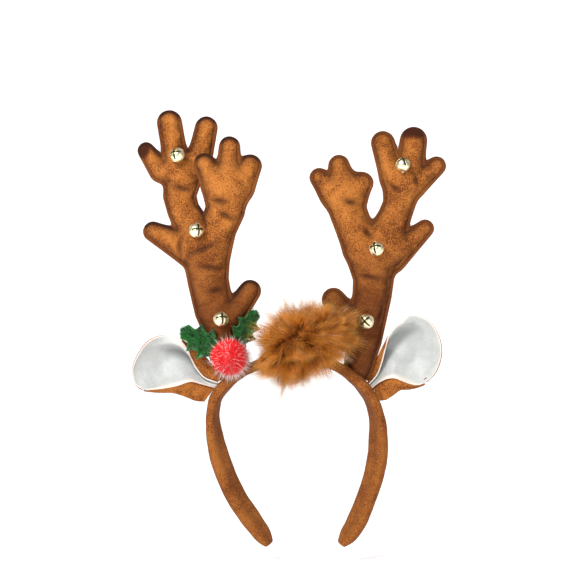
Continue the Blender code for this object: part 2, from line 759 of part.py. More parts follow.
def bell_mesh(cutters):
    """One bell about its own centre, the cross facing +Z and the shank pointing to -Z."""
    bm = bmesh.new()
    bmesh.ops.create_uvsphere(bm, u_segments=12, v_segments=6, radius=BELL_RADIUS)
    blank = make_object("bell_blank", mesh_from(bm, "bell_blank"), cutters)
    blank.hide_render = True
    bm = bmesh.new()
    shank_length = SHANK_REACH - BELL_RADIUS + BELL_WALL / 2
    middle = Matrix.Translation((0, 0, shank_length / 2 - SHANK_REACH))
    bmesh.ops.create_cone(
        bm,
        cap_ends=True,
        segments=6,
        radius1=SHANK_RADIUS,
        radius2=SHANK_RADIUS,
        depth=shank_length,
        matrix=middle,
    )
    combine(blank, make_cutter("bell_shank", bm, cutters), "UNION")
    bm = bmesh.new()
    inner = BELL_RADIUS - BELL_WALL
    bmesh.ops.create_uvsphere(bm, u_segments=8, v_segments=6, radius=inner)
    combine(blank, make_cutter("bell_hollow", bm, cutters))
    combine(blank, slot_cutter("bell_slot_1", 0.0, cutters))
    combine(blank, slot_cutter("bell_slot_2", math.pi / 2, cutters))
    graph = bpy.context.evaluated_depsgraph_get()
    mesh = bpy.data.meshes.new_from_object(blank.evaluated_get(graph))
    bpy.data.objects.remove(blank)
    return mesh


def build_bells(parts, cutters, antlers, brass, steel):
    bell = bell_mesh(cutters)
    bm = bmesh.new()
    bmesh.ops.create_uvsphere(bm, u_segments=8, v_segments=5, radius=PELLET_RADIUS)
    pellet = mesh_from(bm, "bell_pellet")
    for name, (side, x, z, face_x, face_z, roll) in BELLS.items():
        face = Vector((face_x, -math.sqrt(1 - face_x**2 - face_z**2), face_z))
        turn = face.to_track_quat("Z", "Y").to_matrix() @ Matrix.Rotation(roll, 3, "Z")
        ball = make_object(f"bell_{name}", bell, parts, brass)
        ball.location = Vector((x, START_Y, z)) * MM
        ball.rotation_euler = turn.to_euler()
        rest_on(ball, [antlers[side]], SEAT_GAP)
        loose = make_object(f"bell_pellet_{name}", pellet, parts, steel)
        loose.location = ball.location - Vector((0, 0, PELLET_DROP)) * MM


def main():
    clear_scene()
    parts = new_collection("reindeer_antler_headband")
    cutters = new_collection("cutters")
    velour = make_material("brown velour", (155, 88, 38), 0.85)
    satin = make_material("white satin velour", (225, 222, 216), 0.55)
    fur = make_material("golden brown fur", (190, 120, 50), 0.9)
    red = make_material("red tinsel", (235, 10, 25), 0.45)
    green = make_material("green tinsel", (15, 110, 40), 0.4)
    brass = make_material("pale brass", (240, 235, 190), 0.25, 1.0)
    steel = make_material("steel", (150, 150, 150), 0.4, 1.0)
    round_band, under_foot = build_headband(parts, cutters, velour)
    antlers = build_antlers(parts, under_foot, velour)
    build_ears(parts, round_band, velour, satin)
    tuft = build_fur(parts, cutters, round_band, fur)
    carriers = [antlers["left"], tuft]
    for name, row in LEAVES.items():
        carriers.append(build_leaf(name, row, parts, carriers, green))
    build_pompom(parts, carriers, red)
    build_bells(parts, cutters, antlers, brass, steel)


main()
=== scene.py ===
"""Dresses the frame of a reindeer antler headband: velour, satin, fur, tinsel and bells.

The tables and sizes below are in millimetres, in the frame of the part: +Z up, the front
facing -Y, the origin under the middle of the band's crown.
"""

import math

import bmesh
import bpy
import numpy as np
from bpy.props import FloatProperty, FloatVectorProperty, IntProperty, PointerProperty
from mathutils import Matrix, Vector, noise


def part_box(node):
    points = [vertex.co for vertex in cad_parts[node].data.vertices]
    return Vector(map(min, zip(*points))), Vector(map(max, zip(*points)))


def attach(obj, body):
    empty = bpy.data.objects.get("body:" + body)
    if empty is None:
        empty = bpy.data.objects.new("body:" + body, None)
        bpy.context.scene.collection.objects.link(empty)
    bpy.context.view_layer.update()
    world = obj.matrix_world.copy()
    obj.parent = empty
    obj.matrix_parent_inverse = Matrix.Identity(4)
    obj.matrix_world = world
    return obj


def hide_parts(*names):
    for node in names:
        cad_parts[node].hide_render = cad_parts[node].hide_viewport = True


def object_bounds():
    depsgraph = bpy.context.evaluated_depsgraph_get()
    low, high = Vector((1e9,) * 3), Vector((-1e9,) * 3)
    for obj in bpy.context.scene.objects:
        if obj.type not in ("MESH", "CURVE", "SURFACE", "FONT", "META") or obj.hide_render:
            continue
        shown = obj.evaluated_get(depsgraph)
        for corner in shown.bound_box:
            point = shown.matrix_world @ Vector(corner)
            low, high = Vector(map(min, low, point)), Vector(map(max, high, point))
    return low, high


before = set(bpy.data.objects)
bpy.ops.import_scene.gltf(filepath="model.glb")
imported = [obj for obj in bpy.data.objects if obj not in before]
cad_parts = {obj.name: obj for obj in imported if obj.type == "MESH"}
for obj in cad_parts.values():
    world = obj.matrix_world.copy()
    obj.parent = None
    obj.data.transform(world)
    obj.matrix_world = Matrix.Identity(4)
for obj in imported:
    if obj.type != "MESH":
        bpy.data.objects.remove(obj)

bl_info = {
    "name": "Reindeer antler headband",
    "version": (1, 0, 0),
    "blender": (4, 5, 0),
    "location": "View3D > Sidebar > Headband",
    "description": "Dresses a headband frame with velour antlers, satin ears, fur, tinsel and bells",
    "category": "Add Mesh",
}

MM = 0.001
CAD_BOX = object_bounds()

# Band, from the tip of the left leg over the crown to the tip of the right leg:
# x, z, twist in degrees, share of the depth, share of the thickness
BAND_DEPTH = 18.0
BAND_THICKNESS = 7.5
BAND_ROWS = (
    (-20.8, -137.4, 38, 0.42, 0.55),
    (-25.2, -131.4, 38, 0.84, 0.90),
    (-31.4, -123.0, 38, 1.00, 1.05),
    (-47.4, -99.3, 40, 1.00, 1.20),
    (-54.7, -83.9, 40, 1.00, 1.20),
    (-59.9, -68.5, 38, 1.00, 1.15),
    (-63.4, -53.1, 28, 1.00, 1.05),
    (-64.7, -39.0, 17, 1.00, 1.00),
    (-62.2, -24.5, 12, 1.00, 1.10),
    (-54.0, -13.8, 8, 1.00, 1.20),
    (-43.4, -5.2, 4, 1.00, 1.15),
    (-27.0, 1.5, 0, 1.00, 1.10),
    (0.0, 3.75, 0, 1.00, 1.00),
    (25.4, 1.7, 0, 1.00, 1.05),
    (38.0, -4.8, 5, 1.00, 1.15),
    (48.0, -13.2, 10, 1.00, 1.20),
    (55.6, -23.4, 16, 1.00, 1.10),
    (61.2, -38.5, 25, 1.00, 1.05),
    (62.5, -53.0, 34, 1.00, 1.15),
    (62.0, -68.5, 40, 1.00, 1.20),
    (59.0, -84.5, 40, 1.00, 1.20),
    (53.3, -101.5, 39, 1.00, 1.15),
    (44.6, -122.0, 38, 1.00, 1.05),
    (38.4, -131.4, 38, 0.84, 0.90),
    (33.4, -137.6, 38, 0.42, 0.55),
)
BAND_ROUNDNESS = 0.6
BAND_SEAM_WIDTH = 0.16
BAND_SEAM_PRESS = 0.5
# Strength of the painted shade in the band's pressed seam
BAND_SEAM_SHADE = 0.15
BAND_SHADE = 0.38
BAND_WRINKLE = 0.22
BAND_LUMP = 0.35
BAND_STATIONS = 190
BAND_SIDES = 36

# Antlers: each limb's places along its middle, its half width and its stuffing's half thickness
LIMB_ROW = np.dtype([("x", "f8"), ("z", "f8"), ("radius", "f8"), ("puff", "f8")])
LEFT_ANTLER = {
    "trunk": (
        (-49.5, 1.0, 13.1, 9.0),
        (-56.0, 22.0, 13.8, 9.0),
        (-63.9, 43.1, 15.2, 9.5),
        (-68.5, 66.2, 16.0, 9.5),
        (-70.1, 89.3, 19.1, 9.5),
    ),
    "low_tine": ((-54.0, 32.0, 10.6, 7.5), (-36.2, 57.8, 8.7, 6.0)),
    "side_tine": ((-84.0, 90.0, 13.1, 8.0), (-110.9, 103.6, 7.9, 5.5)),
    "back_branch": (
        (-74.7, 97.0, 14.5, 9.0),
        (-87.8, 120.1, 12.5, 8.0),
        (-90.8, 131.7, 12.9, 8.0),
        (-87.4, 149.6, 15.6, 8.5),
    ),
    "back_finger_1": ((-95.0, 148.0, 10.1, 7.0), (-105.5, 150.4, 9.2, 6.5), (-116.7, 166.3, 6.8, 5.0)),
    "back_finger_2": ((-93.9, 160.2, 9.8, 7.0), (-98.6, 187.9, 9.8, 6.2)),
    "back_finger_3": ((-82.0, 154.0, 10.1, 7.5), (-74.7, 162.5, 9.8, 7.0), (-70.1, 184.0, 8.9, 6.0)),
    "front_branch": (
        (-63.1, 100.9, 14.5, 9.0),
        (-54.7, 120.1, 15.2, 8.5),
        (-53.9, 135.5, 19.1, 8.5),
    ),
    "front_finger_1": ((-62.4, 140.9, 11.4, 7.5), (-70.8, 154.8, 8.5, 5.8)),
    "front_finger_2": ((-52.4, 147.1, 9.8, 7.0), (-51.6, 167.9, 8.3, 5.8)),
    "front_finger_3": ((-43.9, 137.8, 12.2, 7.5), (-35.8, 153.2, 9.1, 6.0)),
}
RIGHT_ANTLER = {
    "trunk": (
        (46.8, -2.0, 11.4, 9.0),
        (52.0, 20.0, 13.4, 9.0),
        (57.8, 54.7, 15.2, 9.5),
        (58.8, 66.2, 15.8, 9.5),
        (58.5, 85.5, 21.6, 9.5),
    ),
    "low_tine": ((44.5, 30.0, 11.1, 7.5), (28.1, 51.2, 9.2, 6.0)),
    "side_tine": ((73.5, 83.5, 12.1, 8.0), (98.6, 105.9, 7.1, 5.5)),
    "left_branch": (
        (50.1, 93.2, 16.0, 9.0),
        (43.1, 108.6, 14.5, 8.5),
        (39.1, 119.4, 14.6, 8.5),
        (36.2, 133.0, 18.1, 8.5),
    ),
    "left_finger_1": ((27.0, 131.7, 9.8, 7.0), (16.9, 145.1, 7.5, 5.5)),
    "left_finger_2": ((35.4, 139.4, 10.6, 7.0), (32.3, 154.4, 8.3, 5.8)),
    "left_finger_3": ((44.7, 131.7, 10.1, 7.0), (50.4, 140.9, 8.5, 5.8)),
    "right_branch": (
        (67.8, 97.0, 16.0, 9.0),
        (74.9, 114.7, 12.9, 8.5),
        (78.5, 124.0, 12.5, 8.5),
        (81.6, 141.7, 16.0, 8.5),
    ),
    "right_finger_1": ((73.2, 144.8, 9.8, 7.0), (66.1, 171.7, 9.3, 6.2)),
    "right_finger_2": ((87.8, 154.8, 10.6, 7.5), (89.7, 173.6, 10.6, 6.5)),
    "right_finger_3": ((90.9, 138.6, 9.1, 6.5), (107.4, 154.0, 7.5, 5.2)),
}
# How limbs join, how the seam is pressed flat, and how the stuffing fills the cloth
STUFFING_ALLOWANCE = 2.8
LIMB_BLEND = 1.6
HEIGHT_BLEND = 7.0
SEAM_HALF_THICKNESS = 1.2
STUFFING_CURVE = 0.6
GROOVE_HALF_THICKNESS = 0.45
FLANGE_HALF_THICKNESS = 1.15
HELD_MARGIN = 0.3
STUFFING_START = 0.74
STUFFING_LUMP = 0.5
STUFFING_LUMP_SIZE = 9.0
STUFFING_GROWTH = 0.08
STUFFING_PRESSURE = 5.0
STUFFING_FRAMES = 18
STUFFING_CAP = 5.0
FLANGE_LEVELS = (-1.8, -0.9, 0.0)
# The left antler's fold: its front branch turns about the fork and comes forward
FORK = (-68.0, 92.0)
SPREAD_ANGLE = 20.0
FOLD_BLEND = 7.0
FOLD_REACH = 42.0
FRONT_SHIFT = -9.0
BACK_SHIFT = 6.0

# Creases pressed into the stuffed velour: how they start beside the seam and how deep they go,
# then the ends, depth and width of each
CREASE_START = 3.0
CREASE_STRENGTH = 1.25
CREASE_MOST_SHARE = 0.6
CREASE_ROW = np.dtype(
    [("x1", "f8"), ("z1", "f8"), ("x2", "f8"), ("z2", "f8"), ("depth", "f8"), ("width", "f8")]
)
LEFT_CREASES = (
    (-97.0, 139.0, -80.5, 135.5, 3.0, 3.0),
    (-66.0, 127.5, -52.5, 126.0, 3.2, 2.8),
    (-59.5, 118.0, -48.5, 112.0, 3.0, 2.6),
    (-88.5, 101.5, -89.3, 83.5, 3.2, 1.8),
    (-82.0, 86.0, -61.5, 95.0, 1.6, 3.5),
    (-76.5, 77.0, -55.0, 74.5, 2.6, 2.8),
    (-70.0, 57.0, -56.0, 60.0, 1.2, 3.0),
)
RIGHT_CREASES = (
    (70.8, 139.3, 79.3, 135.5, 2.6, 2.6),
    (90.0, 147.0, 92.4, 138.6, 2.2, 2.2),
    (52.0, 106.0, 57.0, 99.0, 2.8, 2.6),
    (82.4, 83.2, 71.6, 73.9, 2.6, 2.4),
    (71.6, 73.9, 67.0, 50.0, 2.6, 2.2),
    (67.0, 50.0, 60.4, 30.0, 2.4, 2.2),
    (46.2, 70.8, 65.5, 67.8, 2.2, 2.8),
    (35.0, 128.0, 47.0, 124.0, 1.4, 3.0),
)
# Where the velour is darker: painted shade at the seam, beside it and toward the foot, stronger and
# weaker in patches
PATCHINESS_SIZE = 11.0
SEAM_SHADE_WIDTH = 0.55
SEAM_SHADE_REACH = 5.0
FOOT_SHADE = 0.8
FOOT_SHADE_TOP = 118.0
FOOT_SHADE_RUN = 92.0
# Scorched or darkened pile: x, z, radius
LEFT_DARK_SPOTS = ((-121.0, 166.5, 9.0), (-117.5, 173.0, 7.0))
RIGHT_DARK_SPOTS = ((86.0, 182.5, 9.5), (93.5, 182.0, 9.0))

# Ears: upper and lower rim of the lining and lower rim of the shell, from the base to the tip
EAR_CUP = 13.0
EAR_RIM_FORWARD = 8.0
EAR_SPACING = 1.8
SHELL_BACK = 0.8
SHELL_SIZE_SHARE = 0.965
SKIRT_BACK = 4.0
EAR_ALONG = 64
EAR_ACROSS = 44
EAR_SKIRT = 10
EAR_FLAP = 4
PLEAT_DEPTH = 1.3
PLEAT_TURN = 9.0
RUCK_DEPTH = 0.8
RUCK_SIZE = 9.0
GATHER_DEPTH = 0.9
GATHER_TURN = 34.0
# Painted shadow in the valley behind the strip: its place across the ear and its width
VALLEY_SHADOW_PLACE = 0.84
VALLEY_SHADOW_WIDTH = 0.13
FLAP_BACK = 3.0
FLAP_END = 0.34
LEFT_EAR_UPPER = (
    (-60.0, -13.0), (-72.0, -8.0), (-78.7, 0.8), (-84.4, 13.9), (-92.0, 22.3), (-104.0, 23.6),
    (-113.2, 19.6), (-121.0, 10.2), (-126.0, -3.7), (-123.0, -14.0), (-117.0, -18.0),
)
LEFT_EAR_LOWER = (
    (-61.0, -17.5), (-73.2, -14.0), (-80.1, -12.0), (-92.0, -14.9), (-104.0, -17.0), (-117.0, -18.0),
)
LEFT_SHELL_LOWER = (
    (-69.0, -28.0), (-76.5, -27.0), (-83.5, -24.0), (-93.0, -20.8), (-105.0, -20.4), (-117.6, -19.0),
)
LEFT_SHELL_UPPER = ((-54.0, -9.0), (-62.0, -2.0), (-71.0, 8.0), (-80.5, 15.5), (-89.0, 21.0))
RIGHT_EAR_UPPER = (
    (54.5, -14.5), (61.5, -6.5), (65.2, 3.5), (67.4, 13.1), (72.4, 29.3), (81.5, 37.7), (91.0, 39.3),
    (100.9, 34.7), (107.8, 24.6), (110.4, 13.1), (107.8, 0.0), (103.0, -8.0), (97.5, -12.6),
)
RIGHT_EAR_LOWER = (
    (56.5, -18.0), (63.0, -12.8), (69.0, -9.8), (74.5, -9.2), (80.0, -11.0), (86.0, -13.2),
    (91.5, -14.2), (97.5, -12.6),
)
RIGHT_SHELL_LOWER = (
    (60.5, -27.5), (66.5, -26.5), (72.5, -22.5), (78.0, -18.6), (84.0, -18.2), (91.0, -16.6),
    (97.5, -14.0),
)
RIGHT_SHELL_UPPER = ((50.5, -8.0), (56.5, -2.5), (61.0, 5.5), (65.0, 13.5), (69.5, 22.0))

# Fur strip over the crown
FUR_CENTRE = (6.5, -13.0, 18.5)
FUR_RADII = (30.0, 14.0, 20.0)
FUR_RISE = 8.0
FUR_TAPER = 6.0
FUR_END_FORWARD = 9.0
FUR_END_STARTS = 10.0
FUR_END_RUN = 30.0
HEAD_ROOM_FRONT = -9.3
HEAD_ROOM_TOP = 1.5
FUR_LOCKS = 120
FUR_ROOT_SHARE = 0.86
# A hair's way: how much of it goes straight out, into its lock, with its lock's lean, as combed
OUTWARD = 0.5
GATHERED = 0.95
LEANING = 0.75
COMBED = 0.6
HAIR_DISORDER = 0.07
# Every strand thins toward its tip and bends at these shares of its length
STRAND_TAPER = 0.85
HAIR_STOPS = (0, 0.3, 0.65, 1.0)
FILM_STOPS = (0, 0.5, 1.0)
# Pale tufts: where each starts and ends, how far back it lies, and the spread of its roots, which
# are sunk this share of the way to the fur's centre
WISP_DEPTH = 0.4
WISP_ROW = np.dtype(
    [("x1", "f8"), ("z1", "f8"), ("x2", "f8"), ("z2", "f8"), ("y", "f8"), ("spread", "f8")]
)
FUR_WISPS = (
    (-19.0, 38.0, -29.5, 45.0, -14.0, 3.0),
    (-14.0, 42.0, -16.0, 51.5, -14.0, 3.0),
    (-10.0, 44.0, -12.0, 56.5, -14.0, 2.5),
    (-4.0, 44.0, -5.5, 54.5, -14.0, 2.5),
    (2.0, 44.0, 3.5, 57.5, -14.0, 2.5),
    (8.0, 42.0, 13.0, 49.5, -14.0, 3.5),
    (-18.0, 0.0, -22.5, -17.5, -17.0, 2.5),
    (-14.0, -2.0, -14.8, -20.0, -17.0, 2.5),
    (-11.0, -2.0, -15.5, -34.0, -17.0, 1.2),
    (-4.0, 0.0, -6.0, -16.5, -18.0, 3.0),
    (4.0, 2.0, 7.5, -15.5, -18.0, 2.5),
    (8.0, 4.0, 13.0, -8.5, -18.0, 3.0),
    (30.0, 34.0, 41.0, 47.5, -16.0, 3.0),
    (38.0, 24.0, 47.5, 27.0, -18.0, 3.0),
    (36.0, 10.0, 44.0, 3.5, -18.0, 3.0),
)

# Pompom: its place, size, core, strand roots, and how often a strand is long and pale
POMPOM_PLACE = (-51.2, 7.7)
POMPOM_RADIUS = 13.2
POMPOM_CORE = 11.6
POMPOM_ROOTS = 8.5
PALE_CHANCE = 0.05
PALE_CHANCE_LOW_RIGHT = 0.36
# Leaves: base x and z, tip x and z, width
LEAVES = {
    "holly_leaf_left": (-56.0, 9.0, -89.3, 28.7, 28.0),
    "holly_leaf_right": (-48.0, 13.0, -31.0, 43.0, 22.0),
}
LEAF_SPINES = 4
LEAF_CURL = 2.2
FILM_THICKNESS = 0.8
SPINE_DEPTH = 0.42

# Bells: their size and their slots, in radians from the slots' middle, then for each bell the way
# it faces and its roll
BELL_RADIUS = 6.0
SLOT_END = 1.02
SLOT_HALF_WIDTH = 0.085
HOLE_REACH = 0.12
HOLE_HALF_WIDTH = 0.13
PELLET_DROP = 3.0
BELLS = {
    "left_top": (-0.45, 0.45, 0.2),
    "left_middle": (0.45, 0.20, 0.0),
    "left_low": (0.28, 0.39, 0.0),
    "right_top": (0.00, 0.80, 0.3),
    "right_middle": (-0.40, 0.40, 0.2),
    "right_low": (-0.32, 0.07, 0.785),
}

# Floor that curves up into a backdrop, and the lights: place and width
FLOOR_HALF_WIDTH = 3000.0
FLOOR_FRONT = -1700.0
FLOOR_FLAT = 2400.0
FLOOR_RADIUS = 700.0
FLOOR_RISE = 2600.0
FLOOR_DROP = 12.0
LIGHTS = {"key": ((-520, -900, 760), 520), "fill": ((820, -900, 220), 620)}
LIGHT_AIM = (0, 0, 60)

# The photograph's camera
CAMERA_LENS = 105.0
CAMERA_AWAY = 1302.0
CAMERA_AIM = (-5.4, 58.5)


def linear(level):
    """A display level from 0 to 255 as linear light."""
    part = level / 255
    return part / 12.92 if part <= 0.04045 else ((part + 0.055) / 1.055) ** 2.4


def colour(name, description, levels):
    return FloatVectorProperty(
        name=name,
        description=description,
        subtype="COLOR",
        size=4,
        min=0.0,
        max=1.0,
        default=(*map(linear, levels), 1.0),
    )


def length(name, description, millimetres):
    return FloatProperty(
        name=name,
        description=description,
        default=millimetres * MM,
        min=0.0,
        unit="LENGTH",
        subtype="DISTANCE",
        precision=5,
    )


def share(name, description, value):
    return FloatProperty(
        name=name, description=description, default=value, min=0.0, max=1.0, subtype="FACTOR"
    )


def count(name, description, value):
    return IntProperty(name=name, description=description, default=value, min=1)


class VelourSettings(bpy.types.PropertyGroup):
    """The brown velour of the band, the antlers and the ears' shells."""

    lit: colour("Brushed pile", "Colour of pile that is brushed up", (190, 120, 53))
    mid: colour("Pile", "Colour of most of the pile", (164, 96, 38))
    # This colour is also the painted shade where the surface turns away and where the shade attribute is
    # painted
    dark: colour("Crushed pile", "Colour of pile that is pressed down", (92, 43, 12))
    # Groove: the colour of painted shade in seams and creases, and of the dark flange tops and dark spots
    groove: colour("Groove", "Colour in seams and creases", (48, 18, 6))
    mottle: share("Mottle", "How far pressed and brushed pile differ", 0.78)
    # Edge: the strength of the painted shade where the surface turns away
    edge: share("Edge", "How dark the pile looks where it turns away", 0.6)
    sheen: share("Sheen", "Sheen of the pile's ends", 0.10)


class AntlerSettings(bpy.types.PropertyGroup):
    """How the antlers are sewn and stuffed."""

    seam_allowance: length("Seam allowance", "Flat edge outside the stitching", 2.6)
    cell: length("Mesh cell", "Width of the antlers' faces before they are subdivided", 1.5)
    stitch: length("Stitch pitch", "Distance from one stitch to the next", 2.6)
    thread: length("Thread", "Thickness of the sewing thread", 0.5)


class EarSettings(bpy.types.PropertyGroup):
    """The ears' satin lining."""

    satin: colour("Satin", "Colour of the lining", (206, 208, 205))
    satin_shade: colour("Satin shade", "Colour of the lining's pressed pile", (178, 180, 178))
    satin_shadow: colour("Satin shadow", "Colour deep in the ear, behind its strip", (150, 152, 151))
    rim: colour("Rim", "Colour of the lining where it rolls over the edge", (240, 224, 212))
    lining_thickness: length("Lining thickness", "Thickness of the satin", 0.9)
    shell_thickness: length("Shell thickness", "Thickness of the velour shell", 1.2)


class FurSettings(bpy.types.PropertyGroup):
    """The fur strip."""

    root: colour("Root", "Colour of the undercoat", (128, 62, 16))
    middle: colour("Hair", "Colour of the hair", (240, 146, 44))
    tip: colour("Tip", "Colour of the hair's ends", (250, 186, 92))
    wisp: colour("Wisp", "Colour of the longest, thinnest hairs", (232, 214, 192))
    hairs: count("Hairs", "Hairs in each of the two coats", 11500)
    longest: length("Longest hair", "Length of the longest ordinary hair", 21.0)
    thickness: length("Hair thickness", "Thickness of a hair at its root", 0.26)
    wisp_hairs: count("Wisp hairs", "Hairs in the pale tufts", 1500)


class TinselSettings(bpy.types.PropertyGroup):
    """The film strands of the pompom and the holly."""

    red: colour("Red", "Colour of the pompom", (255, 6, 22))
    red_tip: colour("Red tip", "Colour of the pompom's clear tips", (255, 232, 228))
    green: colour("Green", "Colour of the holly", (10, 108, 26))
    green_dark: colour("Dark green", "Colour of the holly's deeper strands", (0, 46, 8))
    # Colour of the painted glints on the holly's strands
    green_glint: colour("Light green", "Colour of the holly's bright strands", (120, 200, 128))
    strands: count("Pompom strands", "Strands in the pompom", 7500)
    leaf_strands: count("Leaf strands", "Strands on each leaf", 4600)


class BellSettings(bpy.types.PropertyGroup):
    """The jingle bells."""

    plating: colour("Plating", "Colour of the bells", (255, 247, 206))
    # Tarnish in the blemishes, and painted shade inside the bell
    tarnish_and_shade: colour("Tarnish", "Colour in the bells' slots and seams", (120, 100, 40))
    wall: length("Wall", "Thickness of the bell's sheet metal", 0.6)


class StageSettings(bpy.types.PropertyGroup):
    """The stage and its light."""

    floor: colour("Floor", "Colour of the floor and the backdrop", (250, 250, 250))
    key_power: FloatProperty(
        name="Key light", description="Power of the main light", default=15.5, unit="POWER"
    )
    fill_power: FloatProperty(
        name="Fill light", description="Power of the second light", default=2.0, unit="POWER"
    )
    world_strength: FloatProperty(
        name="Sky light", description="Strength of the light from all round", default=0.30
    )


def smooth_step(value):
    part = np.clip(value, 0.0, 1.0)
    return part * part * (3 - 2 * part)


def smooth_path(rows, steps):
    """Evenly spaced rows along a smooth line through the given rows."""
    rows = np.array(rows, float)
    reach = np.concatenate(([0.0], np.cumsum(np.linalg.norm(np.diff(rows[:, :2], axis=0), axis=1))))
    slopes = np.gradient(rows, reach, axis=0)
    at = np.linspace(0.0, reach[-1], steps)
    first = np.clip(np.searchsorted(reach, at, side="right") - 1, 0, len(rows) - 2)
    span = (reach[first + 1] - reach[first])[:, None]
    part = (at - reach[first])[:, None] / span
    rest = 1 - part
    ends = rows[first] * (1 + 2 * part) * rest**2 + rows[first + 1] * (1 + 2 * rest) * part**2
    bends = slopes[first] * rest - slopes[first + 1] * part
    return ends + bends * span * part * rest


def ripple(x, y, z, size):
    """Smooth noise from -1 to 1, its swells about one size apart."""
    return noise.noise(Vector((x, y, z)) / size)


def mesh_in_metres(bm, name, recalculate=True):
    """The bmesh, drawn in millimetres, as a mesh in metres."""
    if recalculate:
        bmesh.ops.recalc_face_normals(bm, faces=bm.faces)
    bmesh.ops.scale(bm, vec=(MM, MM, MM), verts=bm.verts)
    mesh = bpy.data.meshes.new(name)
    bm.to_mesh(mesh)
    bm.free()
    mesh.shade_smooth()
    return mesh


def paint(mesh, name, values):
    """Stores one number for each vertex, for a material to read."""
    layer = mesh.attributes.new(name, "FLOAT", "POINT")
    layer.data.foreach_set("value", np.asarray(values, np.float32))


def add_piece(name, mesh, material, nodes=()):
    """A finished piece of the object, riding on the frame in place of its nodes."""
    piece = bpy.data.objects.new(name, mesh)
    bpy.context.scene.collection.objects.link(piece)
    mesh.materials.append(material)
    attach(piece, "root")
    if nodes:
        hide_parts(*nodes)
    return piece


def subdivide(piece, levels=1):
    modifier = piece.modifiers.new("soften", "SUBSURF")
    modifier.levels = levels
    modifier.render_levels = levels


def thicken(piece, thickness):
    modifier = piece.modifiers.new("thickness", "SOLIDIFY")
    modifier.thickness = thickness
    modifier.offset = 0.0


class NodeDesk:
    """Short calls for building a node tree."""

    def __init__(self, tree):
        self.tree = tree

    def add(self, kind, settings=None, **values):
        node = self.tree.nodes.new(kind)
        for key, value in (settings or {}).items():
            setattr(node, key, value)
        for key, value in values.items():
            self.feed(node, key.replace("_", " "), value)
        return node

    def plug(self, socket, value):
        """Links another socket to this one, or sets it to a plain value."""
        if isinstance(value, bpy.types.NodeSocket):
            self.tree.links.new(value, socket)
        else:
            socket.default_value = value

    def feed(self, node, key, value):
        socket = next(s for s in node.inputs if s.enabled and s.name.lower() == key.lower())
        self.plug(socket, value)

    def mix(self, factor, first, second):
        """Mixes two colours."""
        node = self.add("ShaderNodeMix", {"data_type": "RGBA"})
        for index, value in ((0, factor), (6, first), (7, second)):
            self.plug(node.inputs[index], value)
        return node.outputs[2]

    def ramp(self, value, low, high, to_low=0.0, to_high=1.0):
        """Maps a value from low-high to a smooth step."""
        node = self.add(
            "ShaderNodeMapRange",
            {"interpolation_type": "SMOOTHSTEP"},
            Value=value,
            From_Min=low,
            From_Max=high,
            To_Min=to_low,
            To_Max=to_high,
        )
        return node.outputs["Result"]

    def maths(self, operation, first, second=0.0):
        node = self.add("ShaderNodeMath", {"operation": operation})
        for socket, value in zip(node.inputs, (first, second)):
            self.plug(socket, value)
        return node.outputs[0]

    def attribute(self, name):
        return self.add("ShaderNodeAttribute", {"attribute_name": name}).outputs["Fac"]

    def noise(self, vector, scale, detail=3.0, distortion=0.0):
        node = self.add("ShaderNodeTexNoise", Vector=vector, Scale=scale, Detail=detail)
        node.inputs["Distortion"].default_value = distortion
        return node.outputs["Fac"]

    def place(self, stretch=(1.0, 1.0, 1.0)):
        """Object coordinates, stretched."""
        coordinates = self.add("ShaderNodeTexCoord")
        node = self.add("ShaderNodeMapping", Vector=coordinates.outputs["Object"], Scale=stretch)
        return node.outputs["Vector"]


def new_group(name, inputs, outputs):
    """An empty shader node group with float inputs and outputs, and its desk."""
    tree = bpy.data.node_groups.new(name, "ShaderNodeTree")
    for label, value in inputs.items():
        socket = tree.interface.new_socket(label, in_out="INPUT", socket_type="NodeSocketFloat")
        socket.default_value = value
    for label in outputs:
        tree.interface.new_socket(label, in_out="OUTPUT", socket_type="NodeSocketFloat")
    return tree, NodeDesk(tree)


def pile_group():
    """Pressed and brushed patches of a short pile, its grain, and its height."""
    name = "short pile"
    if name in bpy.data.node_groups:
        return bpy.data.node_groups[name]
    inputs = {"Patch Scale": 70.0, "Grain Scale": 1500.0, "Grain": 0.5}
    tree, desk = new_group(name, inputs, ("Nap", "Grain", "Height"))
    given = tree.nodes.new("NodeGroupInput")
    spot = desk.place()
    streak = desk.place((1.0, 1.0, 0.6))
    patch = desk.noise(spot, given.outputs["Patch Scale"], 3.0, 0.8)
    strokes = desk.noise(streak, 620.0, 3.0, 0.5)
    grain = desk.noise(spot, given.outputs["Grain Scale"], 2.0)
    nap = desk.maths("ADD", desk.maths("MULTIPLY", patch, 0.85), desk.maths("MULTIPLY", strokes, 0.15))
    speck = desk.maths("MULTIPLY", desk.maths("SUBTRACT", grain, 0.5), given.outputs["Grain"])
    nap = desk.maths("ADD", nap, speck)
    height = desk.maths("ADD", desk.maths("MULTIPLY", strokes, 0.5), desk.maths("MULTIPLY", grain, 0.5))
    result = tree.nodes.new("NodeGroupOutput")
    tree.links.new(desk.ramp(nap, 0.25, 0.75), result.inputs["Nap"])
    tree.links.new(grain, result.inputs["Grain"])
    tree.links.new(height, result.inputs["Height"])
    return tree


def glint_group():
    """Pale tips past a share of each chosen strand, painted glints on strands by their own tint, and
    painted shade near each strand's root.
    """
    name = "film glints"
    if name in bpy.data.node_groups:
        return bpy.data.node_groups[name]
    tree, desk = new_group(name, {"Tip Start": 0.6, "Tip Share": 0.4}, ("Tip", "Bright", "Deep"))
    given = tree.nodes.new("NodeGroupInput")
    along = desk.attribute("along")
    tint = desk.attribute("tint")
    past = desk.ramp(desk.maths("SUBTRACT", along, given.outputs["Tip Start"]), 0.0, 0.25)
    chosen = desk.maths("LESS_THAN", tint, given.outputs["Tip Share"])
    result = tree.nodes.new("NodeGroupOutput")
    tree.links.new(desk.maths("MULTIPLY", past, chosen), result.inputs["Tip"])
    tree.links.new(desk.ramp(tint, 0.72, 1.0), result.inputs["Bright"])
    tree.links.new(desk.ramp(along, 0.45, 0.0), result.inputs["Deep"])
    return tree


